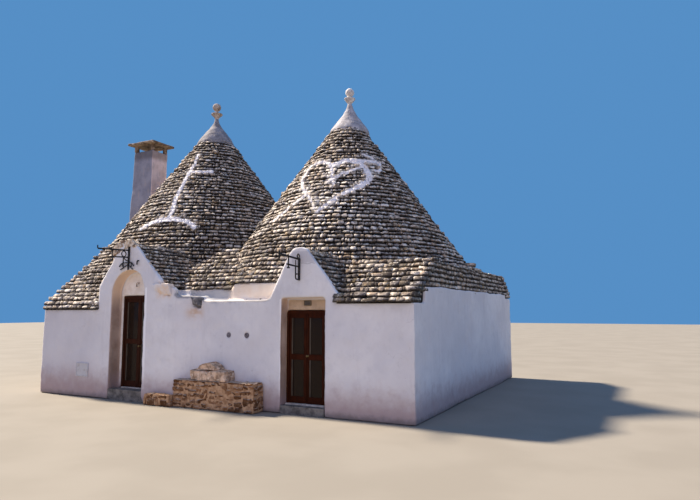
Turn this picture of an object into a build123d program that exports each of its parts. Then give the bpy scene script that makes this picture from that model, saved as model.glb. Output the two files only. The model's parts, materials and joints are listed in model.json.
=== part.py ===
from build123d import *
import os
from math import cos, radians, sin, tan

# A trullo house of two stone cones, in millimetres.
# Survey coordinates: X along the street front, Y into the house, Z up, zero at
# the foot of the right jamb of the square doorway. SX, SY, SZ carry them to the
# model frame, whose origin is the middle of the footprint at ground level.
SX, SY, SZ = 4050, -3780, 60

# ground and levels
GROUND = -60
FLOOR_TOP = 100
PLATE = 2550            # top of the walls, foot of the cones
EAVE_LEFT = 2100        # wall top under the left skirt
EAVE_MIDDLE = 2320      # wall top beside the square doorway
CORNER_TOP = 2395       # wall top of the splayed corner
EAVE_RIGHT = 2220
EAVE_BACK = 2450
TERRACE = 3100          # flat corners behind the skirts
SKIRT_TOP = 3700

# plan
FRONT_LEFT = -300       # street face of the arched bay
FRONT = 0               # street face of the square-headed bay
BACK = 8700
RIGHT = 1950
LEFT_FRONT = -8350
LEFT_BACK = -10050
KINK_Y = 4400           # where the left party wall turns
BAY_RIGHT = -3750
CORNER_RIGHT = -3280
WALL_FRONT = 650
WALL_PARTY = 600
SLIP = (LEFT_BACK - LEFT_FRONT) / (KINK_Y - FRONT_LEFT)
LEFT_INNER_FRONT = (-7947, FRONT_LEFT + WALL_FRONT)
LEFT_INNER_KINK = (-9450, 4505)
INNER_BACK = BACK - WALL_FRONT
INNER_RIGHT = RIGHT - WALL_PARTY
INNER_LEFT = LEFT_BACK + WALL_PARTY

# cones: axis, tip height, outer half angle, inner foot radius, inner tip height
CONE_L = dict(x=-6700, y=4400, tip=8350, half=36.0, inner=3650, inner_tip=7000, cut=7580)
CONE_R = dict(x=-1670, y=4400, tip=8010, half=35.6, inner=3350, inner_tip=6700, cut=7260)

# skirts
SLOPE_LEFT = 0.65
SLOPE = 0.606

# doorways
ARCH_L, ARCH_R, ARCH_SPRING = -5830, -4680, 2450
SQ_L, SQ_R, SQ_TOP = -1050, 0, 2320
DOOR_L = ARCH_L + 70   # a strip of plaster fills the rest of each doorway
DOOR_R = SQ_R - 90
STEP_TOP = 190
LEAF_T = 45
SIDE_GAP = 41
MEET_GAP = 5

os.makedirs("parts", exist_ok=True)


def pt(x, y):
    return (x + SX, y + SY)


def yz(y, z):
    return (y + SY, z + SZ)


def xz(x, z):
    return (x + SX, z + SZ)


def flat(z):
    return Plane.XY.offset(z + SZ)


def facing(y_back):
    return Plane(origin=(0, y_back + SY, 0), x_dir=(1, 0, 0), z_dir=(0, -1, 0))


def across(x_left):
    return Plane(origin=(x_left + SX, 0, 0), x_dir=(0, 1, 0), z_dir=(1, 0, 0))


def save(built, name):
    built.part.label = name
    export_step(built.part, f"parts/{name}.step")


# ---------------------------------------------------------------- shared forms
outline = [(LEFT_FRONT - SLIP * 1700, -2000), (RIGHT, -2000), (RIGHT, 12000),
           (LEFT_BACK, 12000), (LEFT_BACK, KINK_Y)]
plan = [(LEFT_FRONT, FRONT_LEFT), (BAY_RIGHT, FRONT_LEFT), (CORNER_RIGHT, FRONT), (RIGHT, FRONT),
        (RIGHT, BACK), (LEFT_BACK, BACK), (LEFT_BACK, KINK_Y)]
room = [LEFT_INNER_FRONT, (BAY_RIGHT, FRONT_LEFT + WALL_FRONT), (BAY_RIGHT, FRONT + WALL_FRONT),
        (INNER_RIGHT, FRONT + WALL_FRONT), (INNER_RIGHT, INNER_BACK), (INNER_LEFT, INNER_BACK),
        LEFT_INNER_KINK]


def foot_radius(cone, z):
    return (cone["tip"] - z) * tan(radians(cone["half"]))


with BuildPart() as outer_l:
    with Locations((CONE_L["x"] + SX, CONE_L["y"] + SY, PLATE + SZ)):
        Cone(foot_radius(CONE_L, PLATE), foot_radius(CONE_L, CONE_L["cut"]), CONE_L["cut"] - PLATE,
             align=(Align.CENTER, Align.CENTER, Align.MIN))

with BuildPart() as outer_r:
    with Locations((CONE_R["x"] + SX, CONE_R["y"] + SY, PLATE + SZ)):
        Cone(foot_radius(CONE_R, PLATE), foot_radius(CONE_R, CONE_R["cut"]), CONE_R["cut"] - PLATE,
             align=(Align.CENTER, Align.CENTER, Align.MIN))

with BuildPart() as void_l:
    with Locations((CONE_L["x"] + SX, CONE_L["y"] + SY, PLATE + SZ)):
        Cone(CONE_L["inner"], 0, CONE_L["inner_tip"] - PLATE, align=(Align.CENTER, Align.CENTER, Align.MIN))
    with BuildSketch(flat(PLATE)):
        with BuildLine():
            Polyline(*[pt(*p) for p in room], close=True)
        make_face()
    extrude(amount=6000, mode=Mode.INTERSECT)

with BuildPart() as void_r:
    with Locations((CONE_R["x"] + SX, CONE_R["y"] + SY, PLATE + SZ)):
        Cone(CONE_R["inner"], 0, CONE_R["inner_tip"] - PLATE, align=(Align.CENTER, Align.CENTER, Align.MIN))
    with BuildSketch(flat(PLATE)):
        with BuildLine():
            Polyline(*[pt(*p) for p in room], close=True)
        make_face()
    extrude(amount=6000, mode=Mode.INTERSECT)

# -------------------------------------------------------------------- walls
walls = {
    "front_wall_left": ([(LEFT_FRONT, FRONT_LEFT), (ARCH_L, FRONT_LEFT), (ARCH_L, FRONT_LEFT + WALL_FRONT),
                         LEFT_INNER_FRONT], EAVE_LEFT),
    "arch_pier": ([(ARCH_R, FRONT_LEFT), (BAY_RIGHT, FRONT_LEFT), (BAY_RIGHT, FRONT_LEFT + WALL_FRONT),
                   (ARCH_R, FRONT_LEFT + WALL_FRONT)], EAVE_LEFT),
    "front_wall_right": ([(SQ_R, FRONT), (RIGHT, FRONT), (INNER_RIGHT, FRONT + WALL_FRONT),
                          (SQ_R, FRONT + WALL_FRONT)], EAVE_RIGHT),
    "back_wall": ([(LEFT_BACK, BACK), (INNER_LEFT, INNER_BACK), (INNER_RIGHT, INNER_BACK),
                   (RIGHT, BACK)], EAVE_BACK),
}
for name, (corners, top) in walls.items():
    with BuildPart() as wall:
        with BuildSketch(flat(GROUND)):
            with BuildLine():
                Polyline(*[pt(*p) for p in corners], close=True)
            make_face()
        extrude(amount=top - GROUND)
    save(wall, name)

# rain spout in the splayed corner
with BuildPart() as spout_block:
    with Locations((-3290 + SX, -30 + SY, 2240 + SZ)):
        Box(210, 300, 240)

# the middle wall has two round air holes
HOLE_D, HOLE_Z, HOLE_X = 110, 1520, (-2430, -1940)
with BuildPart() as middle_wall:
    with BuildSketch(flat(GROUND)):
        with BuildLine():
            Polyline(pt(CORNER_RIGHT, FRONT), pt(SQ_L, FRONT), pt(SQ_L, FRONT + WALL_FRONT),
                     pt(CORNER_RIGHT, FRONT + WALL_FRONT), close=True)
        make_face()
    extrude(amount=EAVE_MIDDLE - GROUND)
    with BuildSketch(facing(FRONT + WALL_FRONT)):
        with Locations(*[xz(x, HOLE_Z) for x in HOLE_X]):
            Circle(HOLE_D / 2)
    extrude(amount=WALL_FRONT, mode=Mode.SUBTRACT)
    add(spout_block.part, mode=Mode.SUBTRACT)
save(middle_wall, "middle_wall")

# skirts of the roof, as profiles across the house
PROFILE_LEFT = [(-380, EAVE_LEFT), (350, EAVE_LEFT), (350, PLATE), (3200, PLATE), (3200, SKIRT_TOP),
                (-380 + (SKIRT_TOP - 2170) / SLOPE_LEFT, SKIRT_TOP), (-380, 2170)]
PROFILE_MIDDLE = [(330, PLATE), (3200, PLATE), (3200, SKIRT_TOP), (330 + (SKIRT_TOP - 2620) / SLOPE, SKIRT_TOP),
                  (330, 2620)]
PROFILE_RIGHT = [(-80, EAVE_RIGHT), (650, EAVE_RIGHT), (650, PLATE), (4400, PLATE), (4400, TERRACE),
                 (-80 + (TERRACE - 2290) / SLOPE, TERRACE), (-80, 2290)]
PROFILE_BACK = [(8780, EAVE_BACK), (8780, 2520), (8780 - (TERRACE - 2520) / SLOPE, TERRACE), (4400, TERRACE),
                (4400, PLATE), (8050, PLATE), (8050, EAVE_BACK)]

# outlines of the two small gables, seen from the street
GABLE_L = [(-6280, EAVE_LEFT), (-6280, 2670), (-5600, 3630), (-5530, 3710), (-5450, 3735), (-5210, 3735),
           (-5130, 3710), (-5060, 3640), (-4150, 2700), (-4110, 2600), (-3840, 2600), (-3770, 2560),
           (BAY_RIGHT, 2420), (BAY_RIGHT, EAVE_LEFT)]
GABLE_L_BODY = [(-6280, EAVE_LEFT), (-6280, 2550), (-6200, 2640), (-5610, 3500), (-5520, 3590), (-5440, 3610),
                (-5220, 3610), (-5140, 3590), (-4180, 2620), (-4110, 2420), (BAY_RIGHT, 2420), (BAY_RIGHT, EAVE_LEFT)]
GABLE_R = [(-1350, EAVE_MIDDLE), (-1270, 2500), (-870, 3290), (-790, 3375), (-720, 3390), (-540, 3390),
           (-460, 3370), (-380, 3290), (20, 2780), (300, 2400), (300, EAVE_RIGHT), (SQ_R, EAVE_RIGHT),
           (SQ_R, EAVE_MIDDLE)]
GABLE_R_BODY = [(-1350, EAVE_MIDDLE), (-1240, 2500), (-820, 3220), (-750, 3290), (-520, 3290), (-450, 3220),
                (-60, 2740), (220, 2400), (300, 2300), (300, EAVE_RIGHT), (SQ_R, EAVE_RIGHT), (SQ_R, EAVE_MIDDLE)]
GABLE_L_BACK, GABLE_R_BACK = 200, 400
GABLE_FACE = 130        # thickness of the plastered face that stands above the stones
GABLE_ROOF_L = [(-6200, PLATE), (-6200, 2640), (-5610, 3500), (-5520, 3590), (-5440, 3610), (-5220, 3610),
                (-5140, 3590), (-4180, 2620), (-4110, PLATE)]
GABLE_ROOF_R = [(-1200, PLATE), (-820, 3220), (-750, 3290), (-520, 3290), (-450, 3220), (-60, 2740), (80, PLATE)]

with BuildPart() as gable_roof_left:
    with BuildSketch(facing(2600)):
        with BuildLine():
            Polyline(*[xz(*p) for p in GABLE_ROOF_L], close=True)
        make_face()
    extrude(amount=2600 - GABLE_L_BACK)
    add(outer_l.part, mode=Mode.SUBTRACT)
save(gable_roof_left, "gable_roof_left")

with BuildPart() as gable_roof_right:
    with BuildSketch(facing(2600)):
        with BuildLine():
            Polyline(*[xz(*p) for p in GABLE_ROOF_R], close=True)
        make_face()
    extrude(amount=2600 - GABLE_R_BACK)
    add(outer_r.part, mode=Mode.SUBTRACT)
save(gable_roof_right, "gable_roof_right")

# the eaves are raised on a plaster block beside the square gable
RAISED = [(-2620, EAVE_MIDDLE), (-2620, 2570), (-2540, 2680), (-1350, 2680), (-1350, EAVE_MIDDLE)]
with BuildPart() as raised_block:
    with BuildSketch(facing(440)):
        with BuildLine():
            Polyline(*[xz(*p) for p in RAISED], close=True)
        make_face()
    extrude(amount=440 - 290)

skirts = {
    "skirt_front_left": (-11000, -6280, PROFILE_LEFT),
    "skirt_front_middle": (-5000, -635, PROFILE_MIDDLE),
    "skirt_front_right": (300, RIGHT, PROFILE_RIGHT),
    "skirt_back_left": (-11000, -6700, PROFILE_BACK),
    "skirt_back_middle": (-6700, -1670, PROFILE_BACK),
    "skirt_back_right": (-1670, RIGHT, PROFILE_BACK),
}
for name, (x_left, x_right, profile) in skirts.items():
    with BuildPart() as skirt:
        with BuildSketch(across(x_left)):
            with BuildLine():
                Polyline(*[yz(*p) for p in profile], close=True)
            make_face()
        extrude(amount=x_right - x_left)
        if name == "skirt_front_middle":
            # ends behind the arched gable and the square one
            with BuildSketch(facing(350)):
                with Locations(xz(-4600, 2900)):
                    Rectangle(1700, 1600)
            extrude(amount=400, mode=Mode.SUBTRACT)
            with BuildSketch(facing(650)):
                with Locations(xz(-850, 2900)):
                    Rectangle(1000, 1600)
            extrude(amount=700, mode=Mode.SUBTRACT)
            add(raised_block.part, mode=Mode.SUBTRACT)
        with BuildSketch(flat(GROUND)):
            with BuildLine():
                Polyline(*[pt(*p) for p in outline], close=True)
            make_face()
        extrude(amount=9000, mode=Mode.INTERSECT)
        add(outer_l.part, mode=Mode.SUBTRACT)
        add(outer_r.part, mode=Mode.SUBTRACT)
        add(gable_roof_left.part, mode=Mode.SUBTRACT)
        add(gable_roof_right.part, mode=Mode.SUBTRACT)
    save(skirt, name)

party = {
    "party_wall_left_front": [(LEFT_FRONT, FRONT_LEFT), LEFT_INNER_FRONT, LEFT_INNER_KINK, (LEFT_BACK, KINK_Y)],
    "party_wall_left_back": [(LEFT_BACK, KINK_Y), LEFT_INNER_KINK, (INNER_LEFT, INNER_BACK), (LEFT_BACK, BACK)],
    "party_wall_right": [(RIGHT, FRONT), (RIGHT, BACK), (INNER_RIGHT, INNER_BACK),
                         (INNER_RIGHT, FRONT + WALL_FRONT)],
}
for name, corners in party.items():
    with BuildPart() as wall:
        with BuildSketch(flat(GROUND)):
            with BuildLine():
                Polyline(*[pt(*p) for p in corners], close=True)
            make_face()
        extrude(amount=PLATE - GROUND)
        # lower under the eaves, where the skirts rest on it
        front = (350, EAVE_LEFT) if "left" in name else (WALL_FRONT, EAVE_RIGHT)
        with BuildSketch(across(-12000)):
            with BuildLine():
                Polyline(yz(-2000, front[1]), yz(front[0], front[1]), yz(front[0], 4000), yz(-2000, 4000), close=True)
            make_face()
            with BuildLine():
                Polyline(yz(INNER_BACK, EAVE_BACK), yz(12000, EAVE_BACK), yz(12000, 4000), yz(INNER_BACK, 4000),
                         close=True)
            make_face()
        extrude(amount=16000, mode=Mode.SUBTRACT)
    save(wall, name)

with BuildPart() as rain_spout:
    add(spout_block.part)
    with BuildSketch(facing(110)):
        with Locations(xz(-3290, 2370)):
            Circle(70)
    extrude(amount=500, mode=Mode.SUBTRACT)
save(rain_spout, "rain_spout")

with BuildPart() as corner_pier:
    with BuildSketch(flat(GROUND)):
        with BuildLine():
            Polyline(pt(BAY_RIGHT, FRONT_LEFT), pt(CORNER_RIGHT, FRONT), pt(CORNER_RIGHT, FRONT + WALL_FRONT),
                     pt(BAY_RIGHT, FRONT + WALL_FRONT), close=True)
        make_face()
    extrude(amount=EAVE_MIDDLE - GROUND)
    with BuildSketch(flat(EAVE_MIDDLE)):
        with BuildLine():
            Polyline(pt(BAY_RIGHT, FRONT_LEFT), pt(CORNER_RIGHT, FRONT), pt(CORNER_RIGHT, 350),
                     pt(BAY_RIGHT, 350), close=True)
        make_face()
    extrude(amount=CORNER_TOP - EAVE_MIDDLE)
    add(spout_block.part, mode=Mode.SUBTRACT)
save(corner_pier, "corner_pier")

with BuildPart() as eave_wall:
    with BuildSketch(flat(EAVE_MIDDLE)):
        with Locations(pt((BAY_RIGHT - 1350) / 2, 500)):
            Rectangle(-1350 - BAY_RIGHT, 300)
    extrude(amount=PLATE - EAVE_MIDDLE)
    add(raised_block.part)
save(eave_wall, "eave_wall")

# flat shoulder slab at the right foot of the arched gable, on its small corbel
with BuildPart() as shoulder_slab:
    with BuildSketch(flat(2600)):
        with Locations(pt(-4170, -305)):
            Rectangle(540, 150)
    extrude(amount=80)
    with BuildSketch(flat(2420)):
        with Locations(pt(-4020, -230)):
            Rectangle(240, 200)
    extrude(amount=180)
save(shoulder_slab, "shoulder_slab")

with BuildPart() as arched_gable:
    with BuildSketch(facing(GABLE_L_BACK)):
        with BuildLine():
            Polyline(*[xz(*p) for p in GABLE_L_BODY], close=True)
        make_face()
    extrude(amount=GABLE_L_BACK - FRONT_LEFT)
    with BuildSketch(facing(FRONT_LEFT + GABLE_FACE)):
        with BuildLine():
            Polyline(*[xz(*p) for p in GABLE_L], close=True)
        make_face()
    extrude(amount=GABLE_FACE)
    with BuildSketch(flat(EAVE_LEFT)):
        with Locations(pt((-6280 + BAY_RIGHT) / 2, (GABLE_L_BACK + 350) / 2)):
            Rectangle(BAY_RIGHT + 6280, 350 - GABLE_L_BACK)
    extrude(amount=2420 - EAVE_LEFT)
    with BuildSketch(flat(2420)):
        with Locations(pt((-6280 + BAY_RIGHT) / 2, (GABLE_L_BACK + 350) / 2)):
            Rectangle(BAY_RIGHT + 6280, 350 - GABLE_L_BACK)
    extrude(amount=PLATE - 2420)
    with BuildSketch(facing(GABLE_L_BACK)):
        with Locations(xz((ARCH_L + ARCH_R) / 2, ARCH_SPRING)):
            Circle((ARCH_R - ARCH_L) / 2)
        with Locations(xz((ARCH_L + ARCH_R) / 2, ARCH_SPRING - 300)):
            Rectangle(ARCH_R - ARCH_L, 600)
    extrude(amount=GABLE_L_BACK - FRONT_LEFT, mode=Mode.SUBTRACT)
    with BuildSketch(facing(350)):
        with Locations(xz((ARCH_L + ARCH_R) / 2, 2420 - 300)):
            Rectangle(ARCH_R - ARCH_L, 600)
    extrude(amount=350 - GABLE_L_BACK, mode=Mode.SUBTRACT)
    add(shoulder_slab.part, mode=Mode.SUBTRACT)
save(arched_gable, "arched_gable")

with BuildPart() as square_gable:
    with BuildSketch(facing(GABLE_R_BACK)):
        with BuildLine():
            Polyline(*[xz(*p) for p in GABLE_R_BODY], close=True)
        make_face()
    extrude(amount=GABLE_R_BACK - FRONT)
    with BuildSketch(facing(FRONT + GABLE_FACE)):
        with BuildLine():
            Polyline(*[xz(*p) for p in GABLE_R], close=True)
        make_face()
    extrude(amount=GABLE_FACE)
    with BuildSketch(flat(EAVE_MIDDLE)):
        with Locations(pt((-1350 + 300) / 2, (GABLE_R_BACK + 650) / 2)):
            Rectangle(1650, 650 - GABLE_R_BACK)
    extrude(amount=PLATE - EAVE_MIDDLE)
    with BuildSketch(flat(EAVE_RIGHT)):
        with Locations(pt(150, (GABLE_R_BACK + 650) / 2)):
            Rectangle(300, 650 - GABLE_R_BACK)
    extrude(amount=EAVE_MIDDLE - EAVE_RIGHT)
save(square_gable, "square_gable")

# -------------------------------------------------------------------- cones
with BuildPart() as cone_roof_left:
    add(outer_l.part)
    with BuildSketch(flat(PLATE)):
        with BuildLine():
            Polyline(*[pt(*p) for p in plan], close=True)
        make_face()
    extrude(amount=6000, mode=Mode.INTERSECT)
    add(void_l.part, mode=Mode.SUBTRACT)
    add(void_r.part, mode=Mode.SUBTRACT)
    add(arched_gable.part, mode=Mode.SUBTRACT)
save(cone_roof_left, "cone_roof_left")

with BuildPart() as cone_roof_right:
    add(outer_r.part)
    with BuildSketch(flat(PLATE)):
        with BuildLine():
            Polyline(*[pt(*p) for p in plan], close=True)
        make_face()
    extrude(amount=6000, mode=Mode.INTERSECT)
    add(void_r.part, mode=Mode.SUBTRACT)
    add(outer_l.part, mode=Mode.SUBTRACT)
save(cone_roof_right, "cone_roof_right")

# whitewashed caps and pinnacles
caps = {
    "left": (CONE_L, [(585, 7580), (580, 7625), (420, 7850), (300, 8010), (190, 8150), (110, 8290), (58, 8460)],
             8460, 190, 8865, 135),
    "right": (CONE_R, [(560, 7260), (555, 7300), (400, 7505), (300, 7640), (200, 7790), (120, 7940), (66, 8120)],
              8120, 170, 8480, 130),
}
for side, (cone, profile, cup_z, cup_r, ball_z, ball_r) in caps.items():
    axis = Plane(origin=(cone["x"] + SX, cone["y"] + SY, SZ), x_dir=(1, 0, 0), z_dir=(0, -1, 0))
    with BuildPart() as cap:
        with BuildSketch(axis):
            with BuildLine():
                foot = Line((0, profile[0][1]), profile[0])
                rim = Line(profile[0], profile[1])
                flare = Spline(*profile[1:])
                top = Line(profile[-1], (0, profile[-1][1]))
                Line((0, profile[-1][1]), (0, profile[0][1]))
            make_face()
        revolve(axis=Axis((cone["x"] + SX, cone["y"] + SY, 0), (0, 0, 1)))
    save(cap, f"white_cap_{side}")

    with BuildPart() as pinnacle:
        with BuildSketch(axis):
            with BuildLine():
                Polyline((0, cup_z), (56, cup_z), (cup_r - 10, cup_z + 150), (cup_r, cup_z + 165),
                         (cup_r - 12, cup_z + 185), (58, cup_z + 240), (48, ball_z - ball_r + 14),
                         (0, ball_z - ball_r + 14), close=True)
            make_face()
        revolve(axis=Axis((cone["x"] + SX, cone["y"] + SY, 0), (0, 0, 1)))
        with Locations((cone["x"] + SX, cone["y"] + SY, ball_z + SZ)):
            Sphere(ball_r)
    save(pinnacle, f"pinnacle_{side}")

# -------------------------------------------------------------------- chimney
CHIM_X, CHIM_Y, CHIM_W, CHIM_D, CHIM_TOP = -8970, 3740, 840, 680, 7400
POST, POST_H, CAP_OVER, CAP_T = 120, 220, 150, 75
with BuildPart() as chimney_stack:
    with BuildSketch(flat(3500)):
        with Locations(pt(CHIM_X, CHIM_Y)):
            Rectangle(CHIM_W, CHIM_D)
    extrude(amount=CHIM_TOP - 3500)
    add(outer_l.part, mode=Mode.SUBTRACT)
    with BuildSketch(flat(5700)):
        with Locations(pt(CHIM_X, CHIM_Y)):
            Rectangle(CHIM_W - 2 * POST, CHIM_D - 2 * POST)
    extrude(amount=3000, mode=Mode.SUBTRACT)
save(chimney_stack, "chimney_stack")

with BuildPart() as chimney_cap:
    with BuildSketch(flat(CHIM_TOP)):
        with Locations(pt(CHIM_X, CHIM_Y)):
            with GridLocations(CHIM_W - POST, CHIM_D - POST, 2, 2):
                Rectangle(POST, POST)
    extrude(amount=POST_H)
    with BuildSketch(flat(CHIM_TOP + POST_H)):
        with Locations(pt(CHIM_X, CHIM_Y)):
            Rectangle(CHIM_W + 2 * CAP_OVER, CHIM_D + 2 * CAP_OVER)
    extrude(amount=CAP_T)
    with BuildSketch(flat(CHIM_TOP + POST_H + CAP_T)):
        with Locations(pt(CHIM_X, CHIM_Y)):
            Rectangle(CHIM_W + 2 * CAP_OVER - 60, CHIM_D + 2 * CAP_OVER - 60)
    extrude(amount=30, taper=80)
save(chimney_cap, "chimney_cap")

# -------------------------------------------------------------------- floor and steps
with BuildPart() as floor:
    with BuildSketch(flat(GROUND)):
        with BuildLine():
            Polyline(*[pt(*p) for p in room], close=True)
        make_face()
    extrude(amount=FLOOR_TOP - GROUND)
save(floor, "floor")

with BuildPart() as step_left:
    with BuildSketch(flat(GROUND)):
        with Locations(pt((ARCH_L + ARCH_R) / 2, (-300 + 350) / 2)):
            Rectangle(ARCH_R - ARCH_L, 650)
    extrude(amount=STEP_TOP - GROUND)
save(step_left, "step_left")

with BuildPart() as step_right:
    with BuildSketch(flat(GROUND)):
        with Locations(pt((SQ_L + SQ_R) / 2, 325)):
            Rectangle(SQ_R - SQ_L, 650)
    extrude(amount=FLOOR_TOP - GROUND)
save(step_right, "step_right")

# -------------------------------------------------------------------- doors
doors = {
    "left": dict(x0=DOOR_L, x1=ARCH_R, y=60, foot=STEP_TOP, head=2420),
    "right": dict(x0=SQ_L, x1=DOOR_R, y=270, foot=FLOOR_TOP, head=2060),
}
STILE, RAIL_TOP, RAIL_MID, RAIL_FOOT = 58, 95, 95, 140
for side, d in doors.items():
    xm = (d["x0"] + d["x1"]) / 2
    width = d["x1"] - d["x0"]
    leaf_foot, leaf_top = d["foot"] + 12, d["head"] - 51
    with BuildPart() as frame:
        with BuildSketch(facing(d["y"] + 70)):
            with Locations(xz(xm, (d["foot"] + d["head"]) / 2)):
                Rectangle(width, d["head"] - d["foot"])
            with Locations(xz(xm, (d["foot"] + d["head"] - 45) / 2)):
                Rectangle(width - 70, d["head"] - d["foot"] - 45, mode=Mode.SUBTRACT)
        extrude(amount=100)
        with BuildSketch(facing(d["y"] - 6)):
            with Locations(xz(xm, (d["foot"] + d["head"]) / 2)):
                Rectangle(width, d["head"] - d["foot"])
            with Locations(xz(xm, (d["foot"] + d["head"] - 68) / 2)):
                Rectangle(width - 116, d["head"] - d["foot"] - 68, mode=Mode.SUBTRACT)
        extrude(amount=24)
    save(frame, f"door_frame_{side}")

    leaf_w = width / 2 - SIDE_GAP - MEET_GAP
    leaf_h = leaf_top - leaf_foot
    pane_h = (leaf_h - RAIL_TOP - RAIL_MID - RAIL_FOOT) / 2
    low = leaf_foot + RAIL_FOOT + pane_h / 2
    high = leaf_top - RAIL_TOP - pane_h / 2
    for hand, xc in (("a", d["x0"] + SIDE_GAP + leaf_w / 2), ("b", d["x1"] - SIDE_GAP - leaf_w / 2)):
        with BuildPart() as leaf:
            with BuildSketch(facing(d["y"] + LEAF_T)):
                with Locations(xz(xc, (leaf_foot + leaf_top) / 2)):
                    Rectangle(leaf_w, leaf_h)
                with Locations(xz(xc, low), xz(xc, high)):
                    Rectangle(leaf_w - 2 * STILE, pane_h, mode=Mode.SUBTRACT)
            extrude(amount=LEAF_T)
        save(leaf, f"door_leaf_{side}_{hand}")
        with BuildPart() as panes:
            with BuildSketch(facing(d["y"] + LEAF_T / 2 + 4)):
                with Locations(xz(xc, low), xz(xc, high)):
                    Rectangle(leaf_w - 2 * STILE, pane_h)
            extrude(amount=8)
        save(panes, f"door_glass_{side}_{hand}")
    knob_x = xm + MEET_GAP + STILE / 2
    with BuildPart() as knob:
        with BuildSketch(Plane(origin=(knob_x + SX, d["y"] + SY, d["foot"] + 1010 + SZ),
                               x_dir=(0, -1, 0), z_dir=(0, 0, 1))):
            with BuildLine():
                Polyline((0, 0), (0, 24), (6, 24), (8, 10), (30, 10), (38, 22), (50, 24), (60, 16), (64, 0), close=True)
            make_face()
        revolve(axis=Axis((knob_x + SX, d["y"] + SY, d["foot"] + 1010 + SZ), (0, -1, 0)))
    save(knob, f"door_knob_{side}")

# plaster infill over each door
with BuildPart() as infill_left:
    with BuildSketch(facing(200)):
        with Locations(xz((ARCH_L + ARCH_R) / 2, ARCH_SPRING)):
            Circle((ARCH_R - ARCH_L) / 2)
        with Locations(xz((ARCH_L + ARCH_R) / 2, 2420 - 500)):
            Rectangle(1400, 1000, mode=Mode.SUBTRACT)
        with Locations(xz((ARCH_L + ARCH_R) / 2, (2420 + ARCH_SPRING) / 2)):
            Rectangle(ARCH_R - ARCH_L, ARCH_SPRING - 2420)
    extrude(amount=185)
    with BuildSketch(facing(130)):
        with Locations(xz((ARCH_L + DOOR_L) / 2, (STEP_TOP + 2420) / 2)):
            Rectangle(DOOR_L - ARCH_L, 2420 - STEP_TOP)
    extrude(amount=115)
save(infill_left, "infill_left")

with BuildPart() as infill_right:
    with BuildSketch(facing(340)):
        with Locations(xz((SQ_L + SQ_R) / 2, (2060 + SQ_TOP) / 2)):
            Rectangle(SQ_R - SQ_L, SQ_TOP - 2060)
        with Locations(xz((DOOR_R + SQ_R) / 2, (FLOOR_TOP + 2060) / 2)):
            Rectangle(SQ_R - DOOR_R, 2060 - FLOOR_TOP)
    extrude(amount=100)
save(infill_right, "infill_right")

with BuildPart() as number_plate:
    with BuildSketch(facing(240)):
        with Locations(xz(-530, 2215)):
            RectangleRounded(180, 112, 12)
    extrude(amount=15)
save(number_plate, "number_plate")

with BuildPart() as wall_hatch:
    with BuildSketch(facing(FRONT_LEFT)):
        with Locations(xz(-6745, 595)):
            Rectangle(430, 330)
    extrude(amount=18)
save(wall_hatch, "wall_hatch")

# -------------------------------------------------------------------- iron brackets
BRK = 26
BRK_L, BRK_R = -5280, -600      # the vertical planes of the two brackets
with BuildPart() as bracket_left:
    with BuildSketch(facing(FRONT_LEFT)):
        with Locations(xz(BRK_L, 3400)):
            Rectangle(40, 380)
    extrude(amount=24)
    with BuildSketch(across(BRK_L - BRK / 2)):
        with BuildLine():
            Polyline(yz(-324, 3500), yz(-1230, 3462), yz(-1230, 3490), yz(-324, 3530), close=True)
        make_face()
        with BuildLine():
            Polyline(yz(-324, 3326), yz(-870, 3306), yz(-870, 3328), yz(-324, 3350), close=True)
        make_face()
        with BuildLine():
            Polyline(yz(-784, 3240), yz(-806, 3240), yz(-806, 3490), yz(-784, 3490), close=True)
        make_face()
        with BuildLine():
            Polyline(yz(-1206, 3470), yz(-1230, 3470), yz(-1230, 3550), yz(-1206, 3550), close=True)
        make_face()
        with BuildLine():
            Polyline(yz(-460, 3110), yz(-482, 3110), yz(-482, 3340), yz(-460, 3340), close=True)
        make_face()
    extrude(amount=BRK)
save(bracket_left, "bracket_left")

with BuildPart() as bracket_right:
    with BuildSketch(facing(FRONT)):
        with Locations(xz(BRK_R, 2930)):
            Rectangle(40, 470)
    extrude(amount=24)
    with BuildSketch(across(BRK_R - BRK / 2)):
        with BuildLine():
            Polyline(yz(-24, 3108), yz(-775, 3165), yz(-775, 3195), yz(-24, 3140), close=True)
        make_face()
        with BuildLine():
            Polyline(yz(-24, 2958), yz(-480, 2982), yz(-480, 3004), yz(-24, 2982), close=True)
        make_face()
        with BuildLine():
            Polyline(yz(-408, 2920), yz(-430, 2920), yz(-430, 3150), yz(-408, 3150), close=True)
        make_face()
        with BuildLine():
            Polyline(yz(-750, 3080), yz(-775, 3080), yz(-775, 3255), yz(-750, 3255), close=True)
        make_face()
        with BuildLine():
            Polyline(yz(-140, 2715), yz(-160, 2715), yz(-160, 2970), yz(-140, 2970), close=True)
        make_face()
        with BuildLine():
            Polyline(yz(-24, 2805), yz(-150, 2805), yz(-150, 2823), yz(-24, 2823), close=True)
        make_face()
    extrude(amount=BRK)
save(bracket_right, "bracket_right")

# -------------------------------------------------------------------- bench by the wall
splay = (FRONT - FRONT_LEFT) / (CORNER_RIGHT - BAY_RIGHT)
BENCH_L, BENCH_R, BENCH_Y, BENCH_TOP = -3660, -1460, -375, 535
with BuildPart() as bench:
    with BuildSketch(flat(GROUND)):
        with BuildLine():
            Polyline(pt(BENCH_L, BENCH_Y), pt(BENCH_R, BENCH_Y), pt(BENCH_R, FRONT), pt(CORNER_RIGHT, FRONT),
                     pt(BENCH_L, FRONT_LEFT + splay * (BENCH_L - BAY_RIGHT)), close=True)
        make_face()
    extrude(amount=BENCH_TOP - GROUND)
save(bench, "bench")

with BuildPart() as bench_block:
    with BuildSketch(flat(BENCH_TOP)):
        with Locations(pt(-2730, -175)):
            Rectangle(980, 350)
    extrude(amount=220)
save(bench_block, "bench_block")

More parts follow.
